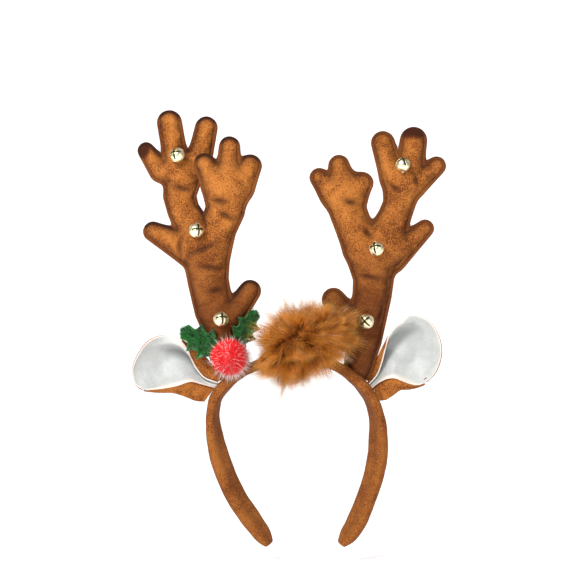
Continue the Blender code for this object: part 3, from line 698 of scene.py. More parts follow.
def new_material(name, roughness, metallic=0.0):
    """A material with a Principled shader, with its desk and its shader node."""
    material = bpy.data.materials.new(name)
    material.use_nodes = True
    shader = material.node_tree.nodes["Principled BSDF"]
    shader.inputs["Roughness"].default_value = roughness
    shader.inputs["Metallic"].default_value = metallic
    return material, NodeDesk(material.node_tree), shader


def use_group(desk, tree, **values):
    node = desk.add("ShaderNodeGroup", {"node_tree": tree})
    for key, value in values.items():
        node.inputs[key.replace("_", " ")].default_value = value
    return node.outputs


def bump(desk, shader, height, strength, distance):
    node = desk.add("ShaderNodeBump", Height=height, Strength=strength, Distance=distance * MM)
    desk.tree.links.new(node.outputs["Normal"], shader.inputs["Normal"])


def velour_material():
    name = "brown velour"
    if name in bpy.data.materials:
        return bpy.data.materials[name]
    setting = bpy.context.scene.headband_velour
    material, desk, shader = new_material(name, 0.85)
    pile = use_group(desk, pile_group(), Patch_Scale=45.0, Grain_Scale=1100.0, Grain=1.25)
    spread = desk.maths("MULTIPLY", desk.maths("SUBTRACT", pile["Nap"], 0.5), setting.mottle * 2)
    low = desk.mix(desk.ramp(spread, -1.0, 0.0), setting.dark, setting.mid)
    base = desk.mix(desk.ramp(spread, 0.0, 1.0), low, setting.lit)
    # Painted shade: the pile darkens where the surface turns away from the camera
    turned = desk.add("ShaderNodeLayerWeight", Blend=0.5).outputs["Facing"]
    base = desk.mix(desk.ramp(turned, 0.12, 0.85, 0.0, setting.edge), base, setting.dark)
    # Painted shade toward the foot and over the band; the darker flange and the dark spots
    base = desk.mix(desk.attribute("shade"), base, setting.dark)
    # Painted shade at the seams, beside them and in the creases, and the dark flange tops and dark spots
    base = desk.mix(desk.attribute("groove"), base, setting.groove)
    desk.feed(shader, "Base Color", base)
    shader.inputs["Sheen Weight"].default_value = setting.sheen
    shader.inputs["Sheen Roughness"].default_value = 0.45
    shader.inputs["Sheen Tint"].default_value = (1.0, 0.62, 0.34, 1.0)
    shader.inputs["Specular IOR Level"].default_value = 0.2
    bump(desk, shader, pile["Height"], 0.5, 0.4)
    return material


def satin_material():
    name = "white satin"
    if name in bpy.data.materials:
        return bpy.data.materials[name]
    setting = bpy.context.scene.headband_ears
    material, desk, shader = new_material(name, 0.5)
    pile = use_group(desk, pile_group(), Patch_Scale=60.0, Grain_Scale=1700.0, Grain=0.9)
    base = desk.mix(pile["Nap"], setting.satin_shade, setting.satin)
    # Painted shadow deep in the ear
    base = desk.mix(desk.attribute("deep"), base, setting.satin_shadow)
    base = desk.mix(desk.attribute("rim"), base, setting.rim)
    desk.feed(shader, "Base Color", base)
    rough = desk.ramp(pile["Grain"], 0.3, 0.7, 0.42, 0.62)
    desk.feed(shader, "Roughness", rough)
    shader.inputs["Sheen Weight"].default_value = 0.3
    shader.inputs["Sheen Roughness"].default_value = 0.3
    bump(desk, shader, pile["Height"], 0.35, 0.25)
    return material


def thread_material():
    name = "dark sewing thread"
    if name in bpy.data.materials:
        return bpy.data.materials[name]
    material, desk, shader = new_material(name, 0.7)
    twist = desk.noise(desk.place(), 2600.0, 1.0)
    dark = tuple(map(linear, (38, 16, 6))) + (1.0,)
    light = tuple(map(linear, (92, 44, 18))) + (1.0,)
    desk.feed(shader, "Base Color", desk.mix(desk.ramp(twist, 0.35, 0.65), dark, light))
    bump(desk, shader, twist, 0.4, 0.15)
    return material


def fur_material():
    setting = bpy.context.scene.headband_fur
    material, desk, shader = new_material("golden brown fur", 0.75)
    along = desk.attribute("along")
    tint = desk.attribute("tint")
    body = desk.mix(desk.ramp(along, 0.0, 0.5), setting.root, setting.middle)
    body = desk.mix(desk.ramp(along, 0.45, 1.0), body, setting.tip)
    patch = desk.noise(desk.place(), 110.0, 3.0, 1.0)
    body = desk.mix(desk.ramp(patch, 0.7, 0.35, 0.0, 0.5), body, setting.root)
    body = desk.mix(desk.ramp(tint, 0.35, 0.0, 0.0, 0.55), body, setting.root)
    body = desk.mix(desk.attribute("wisp"), body, setting.wisp)
    desk.feed(shader, "Base Color", body)
    shader.inputs["Specular IOR Level"].default_value = 0.2
    return material


def undercoat_material():
    setting = bpy.context.scene.headband_fur
    material, desk, shader = new_material("fur undercoat", 0.9)
    strokes = desk.noise(desk.place((1.0, 1.0, 0.35)), 700.0, 4.0, 1.5)
    patch = desk.noise(desk.place(), 110.0, 3.0, 1.0)
    body = desk.mix(desk.ramp(strokes, 0.35, 0.7), setting.root, setting.middle)
    body = desk.mix(desk.ramp(patch, 0.7, 0.35, 0.0, 0.6), body, setting.root)
    desk.feed(shader, "Base Color", body)
    bump(desk, shader, strokes, 0.9, 0.8)
    return material


def pompom_material():
    setting = bpy.context.scene.headband_tinsel
    material, desk, shader = new_material("red film strands", 0.35)
    glint = use_group(desk, glint_group(), Tip_Start=0.35, Tip_Share=0.3)
    # Painted shade near the strands' roots, deep in the pompom, in a darker red
    dark = tuple(0.65 * level for level in setting.red[:3]) + (1.0,)
    body = desk.mix(glint["Deep"], setting.red, dark)
    body = desk.mix(glint["Tip"], body, setting.red_tip)
    desk.feed(shader, "Base Color", body)
    shader.inputs["Coat Weight"].default_value = 0.3
    return material


def holly_material():
    setting = bpy.context.scene.headband_tinsel
    material, desk, shader = new_material("green film strands", 0.38)
    glint = use_group(desk, glint_group())
    patch = desk.noise(desk.place(), 260.0, 3.0, 0.6)
    body = desk.mix(desk.ramp(patch, 0.6, 0.35), setting.green, setting.green_dark)
    # Painted glints: the strands with the highest tint turn light green
    body = desk.mix(desk.maths("MULTIPLY", glint["Bright"], 0.75), body, setting.green_glint)
    desk.feed(shader, "Base Color", body)
    shader.inputs["Coat Weight"].default_value = 0.3
    return material


def bell_material():
    setting = bpy.context.scene.headband_bells
    material, desk, shader = new_material("pale gold plating", 0.3, 1.0)
    spot = desk.place()
    blemish = desk.noise(spot, 420.0, 4.0, 0.5)
    scratch = desk.noise(desk.place((1.0, 1.0, 6.0)), 900.0, 2.0)
    body = desk.mix(desk.ramp(blemish, 0.62, 0.8), setting.plating, setting.tarnish_and_shade)
    # Painted shade inside the bell
    body = desk.mix(desk.attribute("groove"), body, setting.tarnish_and_shade)
    desk.feed(shader, "Base Color", body)
    desk.feed(shader, "Roughness", desk.ramp(scratch, 0.3, 0.75, 0.24, 0.42))
    bump(desk, shader, scratch, 0.08, 0.05)
    return material


def steel_material():
    material, desk, shader = new_material("steel pellet", 0.4, 1.0)
    grain = desk.noise(desk.place(), 1800.0, 3.0)
    dark = (0.10, 0.10, 0.10, 1.0)
    light = (0.42, 0.42, 0.42, 1.0)
    desk.feed(shader, "Base Color", desk.mix(grain, dark, light))
    desk.feed(shader, "Roughness", desk.ramp(grain, 0.3, 0.7, 0.3, 0.5))
    return material


def floor_material():
    setting = bpy.context.scene.headband_stage
    material, desk, shader = new_material("pale paper", 0.9)
    grain = desk.noise(desk.place(), 40.0, 4.0)
    shade = tuple(0.97 * level for level in setting.floor[:3]) + (1.0,)
    desk.feed(shader, "Base Color", desk.mix(grain, shade, setting.floor))
    shader.inputs["Emission Color"].default_value = setting.floor
    shader.inputs["Emission Strength"].default_value = 0.45
    return material


def band_frames(rows, steps):
    """Centre, outward and depth direction and the shares of the band's section, row by row."""
    stations = smooth_path(rows, steps)
    heading = np.gradient(stations[:, :2], axis=0)
    heading /= np.linalg.norm(heading, axis=1)[:, None]
    frames = []
    for (x, z, twist, depth_share, thickness_share), (run_x, run_z) in zip(stations, heading):
        outward = Vector((-run_z, 0.0, run_x))
        turn = Matrix.Rotation(math.radians(twist), 3, outward.cross(Vector((0, 1, 0))))
        across = turn @ outward
        along_depth = turn @ Vector((0.0, 1.0, 0.0))
        frames.append((Vector((x, 0.0, z)), across, along_depth, depth_share, thickness_share))
    return frames


def band_point(frame_row, angle, reach):
    """A point of the padded section, a flattened round form with soft lumps."""
    centre, across, along_depth, depth_share, thickness_share = frame_row
    half_thickness = BAND_THICKNESS / 2 * thickness_share
    half_depth = BAND_DEPTH / 2 * depth_share
    cosine = math.cos(angle)
    sine = math.sin(angle)
    out = math.copysign(abs(cosine) ** BAND_ROUNDNESS, cosine) * half_thickness
    side = math.copysign(abs(sine) ** BAND_ROUNDNESS, sine) * half_depth
    seam = math.exp(-((angle - math.pi) / BAND_SEAM_WIDTH) ** 2)
    out += BAND_SEAM_PRESS * seam
    wrinkle = ripple(reach / 2.2, 3 * cosine, 3 * sine, 2.6) * BAND_WRINKLE
    lump = ripple(reach / 9.0, cosine * 1.5, sine * 1.5, 1.2) * BAND_LUMP
    swell = 1 + (wrinkle + lump) / half_thickness * (1 - seam)
    return centre + across * (out * swell) + along_depth * (side * (1 + (swell - 1) * 0.25)), seam


def extrude_rim(bm, edges):
    """Extrudes open edges, and gives the new vertices and the new open edges."""
    grown = bmesh.ops.extrude_edge_only(bm, edges=edges)["geom"]
    fresh = [item for item in grown if isinstance(item, bmesh.types.BMVert)]
    ring = set(fresh)
    return fresh, [
        item for item in grown if isinstance(item, bmesh.types.BMEdge) and set(item.verts) <= ring
    ]


def band_mesh():
    """A section swept from leg to leg, its ends closed in rounded tongues."""
    frames = band_frames(BAND_ROWS, BAND_STATIONS)
    bm = bmesh.new()
    made = bmesh.ops.create_circle(bm, cap_ends=False, segments=BAND_SIDES, radius=1.0)["verts"]
    ring = sorted(made, key=lambda vert: math.atan2(vert.co.y, vert.co.x))
    edges = list(bm.edges)
    groove = {}
    reach = 0.0
    for index, row in enumerate(frames):
        if index:
            reach += (row[0] - frames[index - 1][0]).length
            fresh, edges = extrude_rim(bm, edges)
            ring = [
                next(edge.other_vert(vert) for edge in vert.link_edges if edge.other_vert(vert) in fresh)
                for vert in ring
            ]
        else:
            bmesh.ops.edgeloop_fill(bm, edges=edges)
        for side, vert in enumerate(ring):
            angle = 2 * math.pi * side / BAND_SIDES
            vert.co, seam = band_point(row, angle, reach)
            groove[vert] = seam
    bmesh.ops.edgeloop_fill(bm, edges=edges)
    values = [groove[vert] for vert in bm.verts]
    mesh = mesh_in_metres(bm, "headband_cover")
    # Painted shade in the pressed seam
    paint(mesh, "groove", np.array(values) * BAND_SEAM_SHADE)
    paint(mesh, "shade", np.full(len(values), BAND_SHADE))
    return mesh


def cut_limbs(side, table):
    """An antler's limbs as they are cut, the left one's front branch turned away."""
    limbs = {name: np.array(list(rows), LIMB_ROW) for name, rows in table.items()}
    for name, limb in limbs.items():
        if side == "left" and name.startswith("front"):
            places = np.stack([limb["x"], limb["z"]], axis=1)
            places = turned(places, FORK, -math.radians(SPREAD_ANGLE))
            limb["x"] = places[:, 0]
            limb["z"] = places[:, 1]
    return limbs


def turned(points, pivot, angle):
    """Points of the XZ plane turned about a pivot, counter-clockwise seen from the front."""
    angle = np.asarray(angle)
    dx = points[:, 0] - pivot[0]
    dz = points[:, 1] - pivot[1]
    x = pivot[0] + dx * np.cos(angle) - dz * np.sin(angle)
    z = pivot[1] + dx * np.sin(angle) + dz * np.cos(angle)
    return np.stack([x, z], axis=1)


def along_and_off(points, start, end):
    """How far along a straight run each point lies, from 0 to 1, and how far off it."""
    run = end - start
    along = np.clip((points - start) @ run / (run @ run), 0.0, 1.0)
    return along, np.linalg.norm(points - start - along[:, None] * run, axis=1)


def stretch_fields(points, first, last, allowance):
    """Distance past one limb stretch's edge, and the stuffing's half thickness."""
    start = np.array([first["x"], first["z"]])
    along, off_axis = along_and_off(points, start, np.array([last["x"], last["z"]]))
    radius = first["radius"] + along * (last["radius"] - first["radius"])
    puff = first["puff"] + along * (last["puff"] - first["puff"])
    inside = np.clip(1 - (off_axis / (radius - allowance)) ** 2, 0.0, 1.0)
    return off_axis - radius, (puff - SEAM_HALF_THICKNESS) * inside**STUFFING_CURVE


def limb_fields(points, limb, allowance=STUFFING_ALLOWANCE):
    """Distance past one limb's edge, and its stuffing's half thickness."""
    stretches = [stretch_fields(points, a, b, allowance) for a, b in zip(limb[:-1], limb[1:])]
    edge = np.min([stretch[0] for stretch in stretches], axis=0)
    puff = np.max([stretch[1] for stretch in stretches], axis=0)
    return edge, puff


def edge_distance(points, limbs):
    """Distance past the antler's outline, negative inside it."""
    edges = np.array([limb_fields(points, limb)[0] for limb in limbs])
    return -LIMB_BLEND * np.log(np.exp(-edges / LIMB_BLEND).sum(axis=0))


def half_thickness(points, limbs):
    """Half the stuffed antler's thickness at each point."""
    puffs = np.array([limb_fields(points, limb)[1] for limb in limbs])
    puff = (puffs**HEIGHT_BLEND).sum(axis=0) ** (1 / HEIGHT_BLEND)
    return SEAM_HALF_THICKNESS + puff


def flat_points(verts):
    return np.array([(vert.co.x, vert.co.z) for vert in verts]).reshape(-1, 2)


def outline_slope(points, limbs):
    """Which way the outline's distance grows at each point."""
    probe = 0.05
    here = edge_distance(points, limbs)
    slope_x = (edge_distance(points + (probe, 0), limbs) - here) / probe
    slope_z = (edge_distance(points + (0, probe), limbs) - here) / probe
    return here, np.stack([slope_x, slope_z], axis=1)


def step_to_level(verts, limbs, level, steps):
    """Moves vertices square to the outline's contours until they lie on one of them."""
    points = flat_points(verts)
    for step in range(steps):
        here, slope = outline_slope(points, limbs)
        steepness = np.maximum((slope**2).sum(axis=1), 0.25)
        move = (level - here) / (steps - step)
        points = points + slope * (move / steepness)[:, None]
    for vert, (x, z) in zip(verts, points):
        vert.co.x = x
        vert.co.z = z


def cut_to_outline(bm, limbs, level, cell):
    """Keeps the grid inside one contour of the outline, with its border on the contour."""
    bm.verts.ensure_lookup_table()
    distance = edge_distance(flat_points(bm.verts), limbs) - level
    near = [vert for vert, d in zip(bm.verts, distance) if abs(d) < 0.3 * cell]
    step_to_level(near, limbs, level, 3)
    side = dict(zip(bm.verts, distance))
    side.update((vert, 0.0) for vert in near)
    crossing = [edge for edge in bm.edges if side[edge.verts[0]] * side[edge.verts[1]] < 0]
    fresh = []
    for edge in crossing:
        start, end = edge.verts
        part = side[start] / (side[start] - side[end])
        fresh.append(bmesh.utils.edge_split(edge, start, part)[1])
    step_to_level(fresh, limbs, level, 2)
    bmesh.ops.connect_verts(bm, verts=near + fresh)
    centres = [face.calc_center_median() for face in bm.faces]
    middles = np.array([(centre.x, centre.z) for centre in centres])
    outside = edge_distance(middles, limbs) > level
    bmesh.ops.delete(
        bm, geom=[face for face, out in zip(bm.faces, outside) if out], context="FACES"
    )


def fold_weight(points, limbs):
    """How far each point of the left antler's pattern belongs to the front branch."""
    front = edge_distance(points, [v for k, v in limbs.items() if k.startswith("front")])
    rest = edge_distance(points, [v for k, v in limbs.items() if not k.startswith("front")])
    return smooth_step((rest - front) / (2 * FOLD_BLEND) + 0.5)


def fold_left(points, limbs):
    """Pattern places of the left antler folded into the shape it is worn in."""
    front = fold_weight(points, limbs)
    from_fork = np.hypot(points[:, 0] - FORK[0], points[:, 1] - FORK[1])
    above_fork = points[:, 1] - FORK[1]
    folded = turned(points, FORK, math.radians(SPREAD_ANGLE) * front)
    forward = FRONT_SHIFT * front * smooth_step(from_fork / FOLD_REACH)
    back = BACK_SHIFT * (1 - front) * smooth_step(above_fork / FOLD_REACH)
    return folded, forward + back


def stay_flat(points, limbs):
    """The right antler is worn as it is cut."""
    return points, np.zeros(len(points))


def crease_depth(points, creases):
    """How far the velour is pressed in at each point, and a share for the painted shade in the crease."""
    depth = np.zeros(len(points))
    dark = np.zeros(len(points))
    for row in creases:
        start = np.array([row["x1"], row["z1"]])
        along, off = along_and_off(points, start, np.array([row["x2"], row["z2"]]))
        fade = 0.35 + 0.65 * np.sin(math.pi * np.clip(along, 0.05, 0.95))
        press = np.exp(-((off / row["width"]) ** 2)) * fade
        depth = np.maximum(depth, row["depth"] * press)
        dark = np.maximum(dark, np.exp(-((off / (0.75 * row["width"])) ** 2)) * fade)
    return depth, dark


def swell(bm, held):
    """Fills a sewn form as cloth: its held vertices stay, and no other moves past the cap."""
    enlarge = 0.01
    mesh = bpy.data.meshes.new("filling")
    bm.to_mesh(mesh)
    start = np.empty(len(mesh.vertices) * 3)
    mesh.vertices.foreach_get("co", start)
    mesh.vertices.foreach_set("co", start * enlarge)
    obj = bpy.data.objects.new("filling", mesh)
    bpy.context.scene.collection.objects.link(obj)
    group = obj.vertex_groups.new(name="held")
    group.add(held, 1.0, "REPLACE")
    cloth = obj.modifiers.new("filling", "CLOTH")
    cloth.settings.quality = 6
    cloth.settings.mass = 0.3
    cloth.settings.tension_stiffness = 20
    cloth.settings.compression_stiffness = 20
    cloth.settings.shear_stiffness = 8
    cloth.settings.bending_stiffness = 0.02
    cloth.settings.shrink_min = -STUFFING_GROWTH
    cloth.settings.use_pressure = True
    cloth.settings.uniform_pressure_force = STUFFING_PRESSURE
    cloth.settings.effector_weights.gravity = 0.0
    cloth.settings.vertex_group_mass = "held"
    cloth.point_cache.frame_end = STUFFING_FRAMES
    scene = bpy.context.scene
    for step in range(1, STUFFING_FRAMES + 1):
        scene.frame_set(step)
    result = obj.evaluated_get(bpy.context.evaluated_depsgraph_get()).data
    end = np.empty(len(result.vertices) * 3)
    result.vertices.foreach_get("co", end)
    start = start.reshape(-1, 3)
    moved = end.reshape(-1, 3) / enlarge - start
    far = np.linalg.norm(moved, axis=1)
    moved *= np.minimum(1.0, STUFFING_CAP / np.maximum(far, 1e-9))[:, None]
    for vert, place in zip(bm.verts, start + moved):
        vert.co = place
    scene.frame_set(1)
    bpy.data.objects.remove(obj)
    bpy.data.meshes.remove(mesh)


def grid_over(limbs, cell):
    """A flat grid of cells that covers the limbs."""
    low_x = min((limb["x"] - limb["radius"]).min() for limb in limbs)
    high_x = max((limb["x"] + limb["radius"]).max() for limb in limbs)
    low_z = min((limb["z"] - limb["radius"]).min() for limb in limbs)
    high_z = max((limb["z"] + limb["radius"]).max() for limb in limbs)
    columns = math.ceil((high_x - low_x) / cell)
    rows = math.ceil((high_z - low_z) / cell)
    bm = bmesh.new()
    bmesh.ops.create_grid(bm, x_segments=columns, y_segments=rows, size=0.5)
    for vert in bm.verts:
        x = low_x + (vert.co.x + 0.5) * columns * cell
        z = low_z + (vert.co.y + 0.5) * rows * cell
        vert.co = (x, 0.0, z)
    return bm


def antler_pattern(limbs, allowance, cell):
    """One velour layer: its stuffed part, the stitch line and the flat edge outside it."""
    bm = grid_over(limbs, cell)
    cut_to_outline(bm, limbs, -allowance, cell)
    border = [edge for edge in bm.edges if edge.is_boundary]
    stitched = {vert for edge in border for vert in edge.verts}
    inner = [vert for vert in bm.verts if vert not in stitched]
    for vert, depth in zip(bm.verts, half_thickness(flat_points(bm.verts), limbs)):
        vert.co.y = -depth
    for _ in range(round(3 * (4.2 / cell) ** 2)):
        bmesh.ops.smooth_vert(bm, verts=inner, factor=0.5, use_axis_y=True)
    for vert in stitched:
        vert.co.y = -GROOVE_HALF_THICKNESS
    edges = border
    for level in FLANGE_LEVELS:
        fresh, edges = extrude_rim(bm, edges)
        step_to_level(fresh, limbs, level, 5)
        for vert in fresh:
            vert.co.y = -FLANGE_HALF_THICKNESS
    return bm


def antler_mesh(side, table, creases, spots, fold):
    """Two layers sewn and stuffed, creased and folded, with painted shade at its seam, beside it, in its
    creases and toward its foot, and its dark places painted.
    """
    setting = bpy.context.scene.headband_antlers
    allowance = setting.seam_allowance / MM
    limbs = cut_limbs(side, table)
    shapes = list(limbs.values())
    bm = antler_pattern(shapes, allowance, setting.cell / MM)
    made = bmesh.ops.extrude_face_region(bm, geom=list(bm.faces), use_keep_orig=True)["geom"]
    for item in made:
        if isinstance(item, bmesh.types.BMVert):
            item.co.y = -item.co.y
    bm.verts.index_update()
    bmesh.ops.recalc_face_normals(bm, faces=bm.faces)
    pattern = flat_points(bm.verts)
    distance, slope = outline_slope(pattern, shapes)
    free_from = -allowance - HELD_MARGIN
    held = [index for index, away in enumerate(distance) if away > free_from]
    for vert, away in zip(bm.verts, distance):
        if away < free_from:
            lump = STUFFING_LUMP * ripple(*vert.co, STUFFING_LUMP_SIZE)
            vert.co.y = vert.co.y * STUFFING_START + lump
    swell(bm, held)
    depth, dark = crease_depth_folded(pattern, limbs, creases, fold)
    inside = np.clip((-distance - allowance) / CREASE_START, 0.0, 1.0)
    for vert, press, room in zip(bm.verts, depth, inside):
        press = min(CREASE_STRENGTH * press * room, CREASE_MOST_SHARE * abs(vert.co.y))
        vert.co.y -= math.copysign(press, vert.co.y)
    points = flat_points(bm.verts)
    folded, shift = fold(points, limbs)
    for vert, (x, z), y in zip(bm.verts, folded, shift):
        vert.co = (x, vert.co.y + y, z)
    patchiness = np.array([ripple(x, 0.0, z, PATCHINESS_SIZE) for x, z in pattern]) * 0.5 + 0.5
    past_seam = distance + allowance
    # Painted shade: a dark line at the seam, a soft band beside it and the creases on the front face,
    # stronger and weaker in patches
    seam = np.exp(-((past_seam / SEAM_SHADE_WIDTH) ** 2)) * (0.65 + 0.3 * patchiness)
    beside = (0.30 + 0.25 * patchiness) * smooth_step((past_seam + SEAM_SHADE_REACH) / SEAM_SHADE_REACH)
    beside *= smooth_step((0.3 - distance - allowance) / 0.6)
    front = np.array([vert.co.y for vert in bm.verts]) < shift
    groove = np.clip(np.maximum(seam, np.maximum(beside, 0.85 * dark * inside * front)), 0, 1)
    flange = smooth_step((distance + allowance - 0.3) / 0.6)
    upward = smooth_step((turned_slope(slope, points, limbs, side)[:, 1] - 0.05) / 0.6)
    # Painted shade toward the foot; the flat flange is darker too, in patches
    near_foot = FOOT_SHADE * smooth_step((FOOT_SHADE_TOP - folded[:, 1]) / FOOT_SHADE_RUN)
    shade = np.maximum((0.65 + 0.25 * patchiness) * flange, near_foot)
    capped = flange * upward * (1.0 if side == "left" else 0.4)
    for x, z, radius in spots:
        off = np.hypot(folded[:, 0] - x, folded[:, 1] - z)
        shade = np.maximum(shade, 1.8 * smooth_step((radius - off) / (0.5 * radius)))
    mesh = mesh_in_metres(bm, f"antler_{side}_cover")
    charred = np.clip(shade - 1, 0, 1) * 0.95
    paint(mesh, "groove", np.maximum(np.maximum(groove, capped), charred))
    paint(mesh, "shade", np.clip(shade, 0, 1))
    return mesh


def turned_slope(slope, points, limbs, side):
    """The outline's slope, turned with the left antler's fold."""
    if side == "right":
        return slope
    return turned(slope, (0.0, 0.0), math.radians(SPREAD_ANGLE) * fold_weight(points, limbs))


def crease_depth_folded(points, limbs, creases, fold):
    """Creases are placed on the folded antler, as they are seen."""
    return crease_depth(fold(points, limbs)[0], np.array(list(creases), CREASE_ROW))


def shift_to_shell(bm, places, upper, lower, flap_rows, skirt_rows):
    """Moves a lining's surface back to make the shell, with its flap above and its skirt below."""
    flap = smooth_path(flap_rows, round(EAR_ALONG * FLAP_END) + 1)
    skirt = smooth_path(skirt_rows, EAR_ALONG + 1)
    centre = (upper.mean(axis=0) + lower.mean(axis=0)) / 2
    shifts = [vert.normal.copy() for vert in bm.verts]
    for vert, shift in zip(bm.verts, shifts):
        step, row = places[vert]
        vert.co += (Vector((0, 1, 0)) if step == EAR_ALONG else shift) * EAR_SPACING
        x, z = centre + ((vert.co.x, vert.co.z) - centre) * SHELL_SIZE_SHARE
        y = vert.co.y + SHELL_BACK
        if row < 0:
            drop = -row / EAR_SKIRT
            gather = math.sin(step / EAR_ALONG * GATHER_TURN) * GATHER_DEPTH * drop
            gather *= float(smooth_step((0.6 - step / EAR_ALONG) / 0.4))
            x, z = (x, z) + (skirt[step] - lower[step]) * drop
            y += SKIRT_BACK * drop + gather
        elif row > EAR_ACROSS and step < len(flap):
            rise = (row - EAR_ACROSS) / EAR_FLAP
            x, z = (x, z) + (flap[step] - (x, z)) * rise
            y += FLAP_BACK * rise
        vert.co = (x, y, z)
    past = [v for v, (step, row) in places.items() if row > EAR_ACROSS and step >= len(flap)]
    bmesh.ops.delete(bm, geom=past, context="VERTS")


def ear_surface(upper_rows, lower_rows, strip, shell_rows=None):
    """A cupped leaf of cloth between two rims, from the base to the tip.

    The rim from the base to the top of the ear rolls forward in a strip, and the cloth drops
    steeply behind it. The base is gathered in pleats. Rows for the shell's own upper and lower
    edges make it the shell behind a lining, with a flap above and a skirt below.
    """
    skirt_steps = EAR_SKIRT if shell_rows else 0
    flap_steps = EAR_FLAP if shell_rows else 0
    upper = smooth_path(upper_rows, EAR_ALONG + 1)
    lower = smooth_path(lower_rows, EAR_ALONG + 1)
    rows = EAR_ACROSS + skirt_steps + flap_steps
    bm = bmesh.new()
    bmesh.ops.create_grid(bm, x_segments=EAR_ALONG, y_segments=rows, size=0.5)
    places = {}
    rim = {}
    deep = bm.verts.layers.float.new("deep")
    for vert in bm.verts:
        step = round((vert.co.x + 0.5) * EAR_ALONG)
        row = round((vert.co.y + 0.5) * rows) - skirt_steps
        places[vert] = (step, row)
        along = step / EAR_ALONG
        across = min(max(row, 0), EAR_ACROSS) / EAR_ACROSS
        x, z = lower[step] + (upper[step] - lower[step]) * across
        cup = EAR_CUP * smooth_step(0.2 + along / 0.5) * smooth_step((1 - along) / 0.4)
        even = (4 * across * (1 - across)) ** 0.8
        rolled = smooth_step((1 - strip - across) / 0.14) * smooth_step(across / 0.7) ** 0.7
        near_base = smooth_step((0.64 - along) / 0.22)
        depth = cup * (even + (1.15 * rolled - even) * near_base)
        pleat = math.sin(across * PLEAT_TURN + 1.0) * PLEAT_DEPTH * smooth_step((0.42 - along) / 0.4)
        ruck = ripple(x, 0.0, z, RUCK_SIZE) * RUCK_DEPTH
        ruck *= float(smooth_step(across * (1 - across) * 8))
        y = float(depth - EAR_RIM_FORWARD * smooth_step(along / 0.6)) + float(pleat) + ruck
        vert.co = (x, y, z)
        # Painted shadow in the valley behind the strip, and fainter in the cup's hollow
        valley_shadow = math.exp(-(((across - VALLEY_SHADOW_PLACE + strip) / VALLEY_SHADOW_WIDTH) ** 2))
        valley_shadow *= float(smooth_step((0.72 - along) / 0.3))
        cup_shadow = 0.25 * math.exp(-(((across - 0.45) / 0.3) ** 2) - ((along - 0.62) / 0.22) ** 2)
        vert[deep] = min(1.0, 0.7 * valley_shadow + cup_shadow)
        rolls = float(smooth_step((0.5 - along) / 0.06))
        upper_edge = (1 - across) / max(strip, 0.04) / max(rolls, 0.02)
        rim[vert] = float(smooth_step(1.4 - min(across / 0.06, upper_edge)))
    bm.normal_update()
    if sum(face.normal.y * face.calc_area() for face in bm.faces) < 0:
        bmesh.ops.reverse_faces(bm, faces=bm.faces)
        bm.normal_update()
    if shell_rows:
        shift_to_shell(bm, places, upper, lower, *shell_rows)
    bmesh.ops.remove_doubles(bm, verts=bm.verts, dist=0.02)
    rims = [rim[vert] for vert in bm.verts]
    return bm, rims


def strand_mesh(name, roots, ways, bends, lengths, radii, tints, stops, extra=None):
    """Joined tapered strands with three sides. Each runs from its root along its way and bends."""
    amount = len(roots)
    ways = ways / np.linalg.norm(ways, axis=1)[:, None]
    helper = np.where(np.abs(ways[:, :1]) < 0.8, [[1.0, 0.0, 0.0]], [[0.0, 0.0, 1.0]])
    u = np.cross(ways, helper)
    u /= np.linalg.norm(u, axis=1)[:, None]
    v = np.cross(ways, u)
    per = 3 * (len(stops) - 1) + 1
    verts = np.empty((amount, per, 3))
    along = np.empty((amount, per))
    for ring, stop in enumerate(stops[:-1]):
        centre = roots + lengths[:, None] * (ways * stop + bends * stop**2)
        reach = (radii * (1 - STRAND_TAPER * stop))[:, None]
        for side in range(3):
            angle = 2 * math.pi * side / 3
            verts[:, 3 * ring + side] = centre + reach * (u * math.cos(angle) + v * math.sin(angle))
            along[:, 3 * ring + side] = stop
    verts[:, -1] = roots + lengths[:, None] * (ways + bends)
    along[:, -1] = 1.0
    faces = [(0, 2, 1)]
    for ring in range(len(stops) - 2):
        for side in range(3):
            low = 3 * ring + side
            low_next = 3 * ring + (side + 1) % 3
            faces += [(low, low_next, low_next + 3), (low, low_next + 3, low + 3)]
    last = 3 * (len(stops) - 2)
    faces += [(last + side, last + (side + 1) % 3, per - 1) for side in range(3)]
    joined = np.array(faces)[None] + (np.arange(amount) * per)[:, None, None]
    mesh = bpy.data.meshes.new(name)
    mesh.from_pydata((verts.reshape(-1, 3) * MM).tolist(), [], joined.reshape(-1, 3).tolist())
    paint(mesh, "along", along.ravel())
    paint(mesh, "tint", np.repeat(tints, per))
    for label, values in (extra or {}).items():
        paint(mesh, label, (np.repeat(values, per) * along.ravel()))
    mesh.shade_smooth()
    return mesh


def ball_points(amount, dice):
    """Evenly spread directions with a little disorder."""
    index = np.arange(amount) + 0.5
    z = 1 - 2 * index / amount
    turn = index * math.pi * (3 - math.sqrt(5)) + dice.normal(0, 0.2, amount)
    flat = np.sqrt(1 - z**2)
    ways = np.stack([flat * np.cos(turn), flat * np.sin(turn), z], axis=1)
    ways += dice.normal(0, 0.03, ways.shape)
    return ways / np.linalg.norm(ways, axis=1)[:, None]


def fur_place(ways, grow=1.0):
    """Points of the fur's body in each direction, climbing and thinning to the right."""
    points = np.array(FUR_CENTRE) + np.array(FUR_RADII) * ways * grow
    points[:, 2] += FUR_RISE * ways[:, 0] - FUR_TAPER * ways[:, 0] * ways[:, 2]
    points[:, 1] -= FUR_END_FORWARD * smooth_step((points[:, 0] - FUR_END_STARTS) / FUR_END_RUN)
    return points


def fur_body_mesh():
    bm = bmesh.new()
    bmesh.ops.create_icosphere(bm, subdivisions=6, radius=1.0)
    for vert in bm.verts:
        way = vert.co.normalized()
        lump = 0.06 * ripple(*way, 0.35) + 0.05 * ripple(way.x * 2, way.y * 2, way.z, 0.16)
        place = fur_place(np.array([way]), FUR_ROOT_SHARE + lump)[0]
        if place[1] > HEAD_ROOM_FRONT:
            place[2] = max(place[2], HEAD_ROOM_TOP)
        vert.co = place
    return mesh_in_metres(bm, "fur_undercoat")


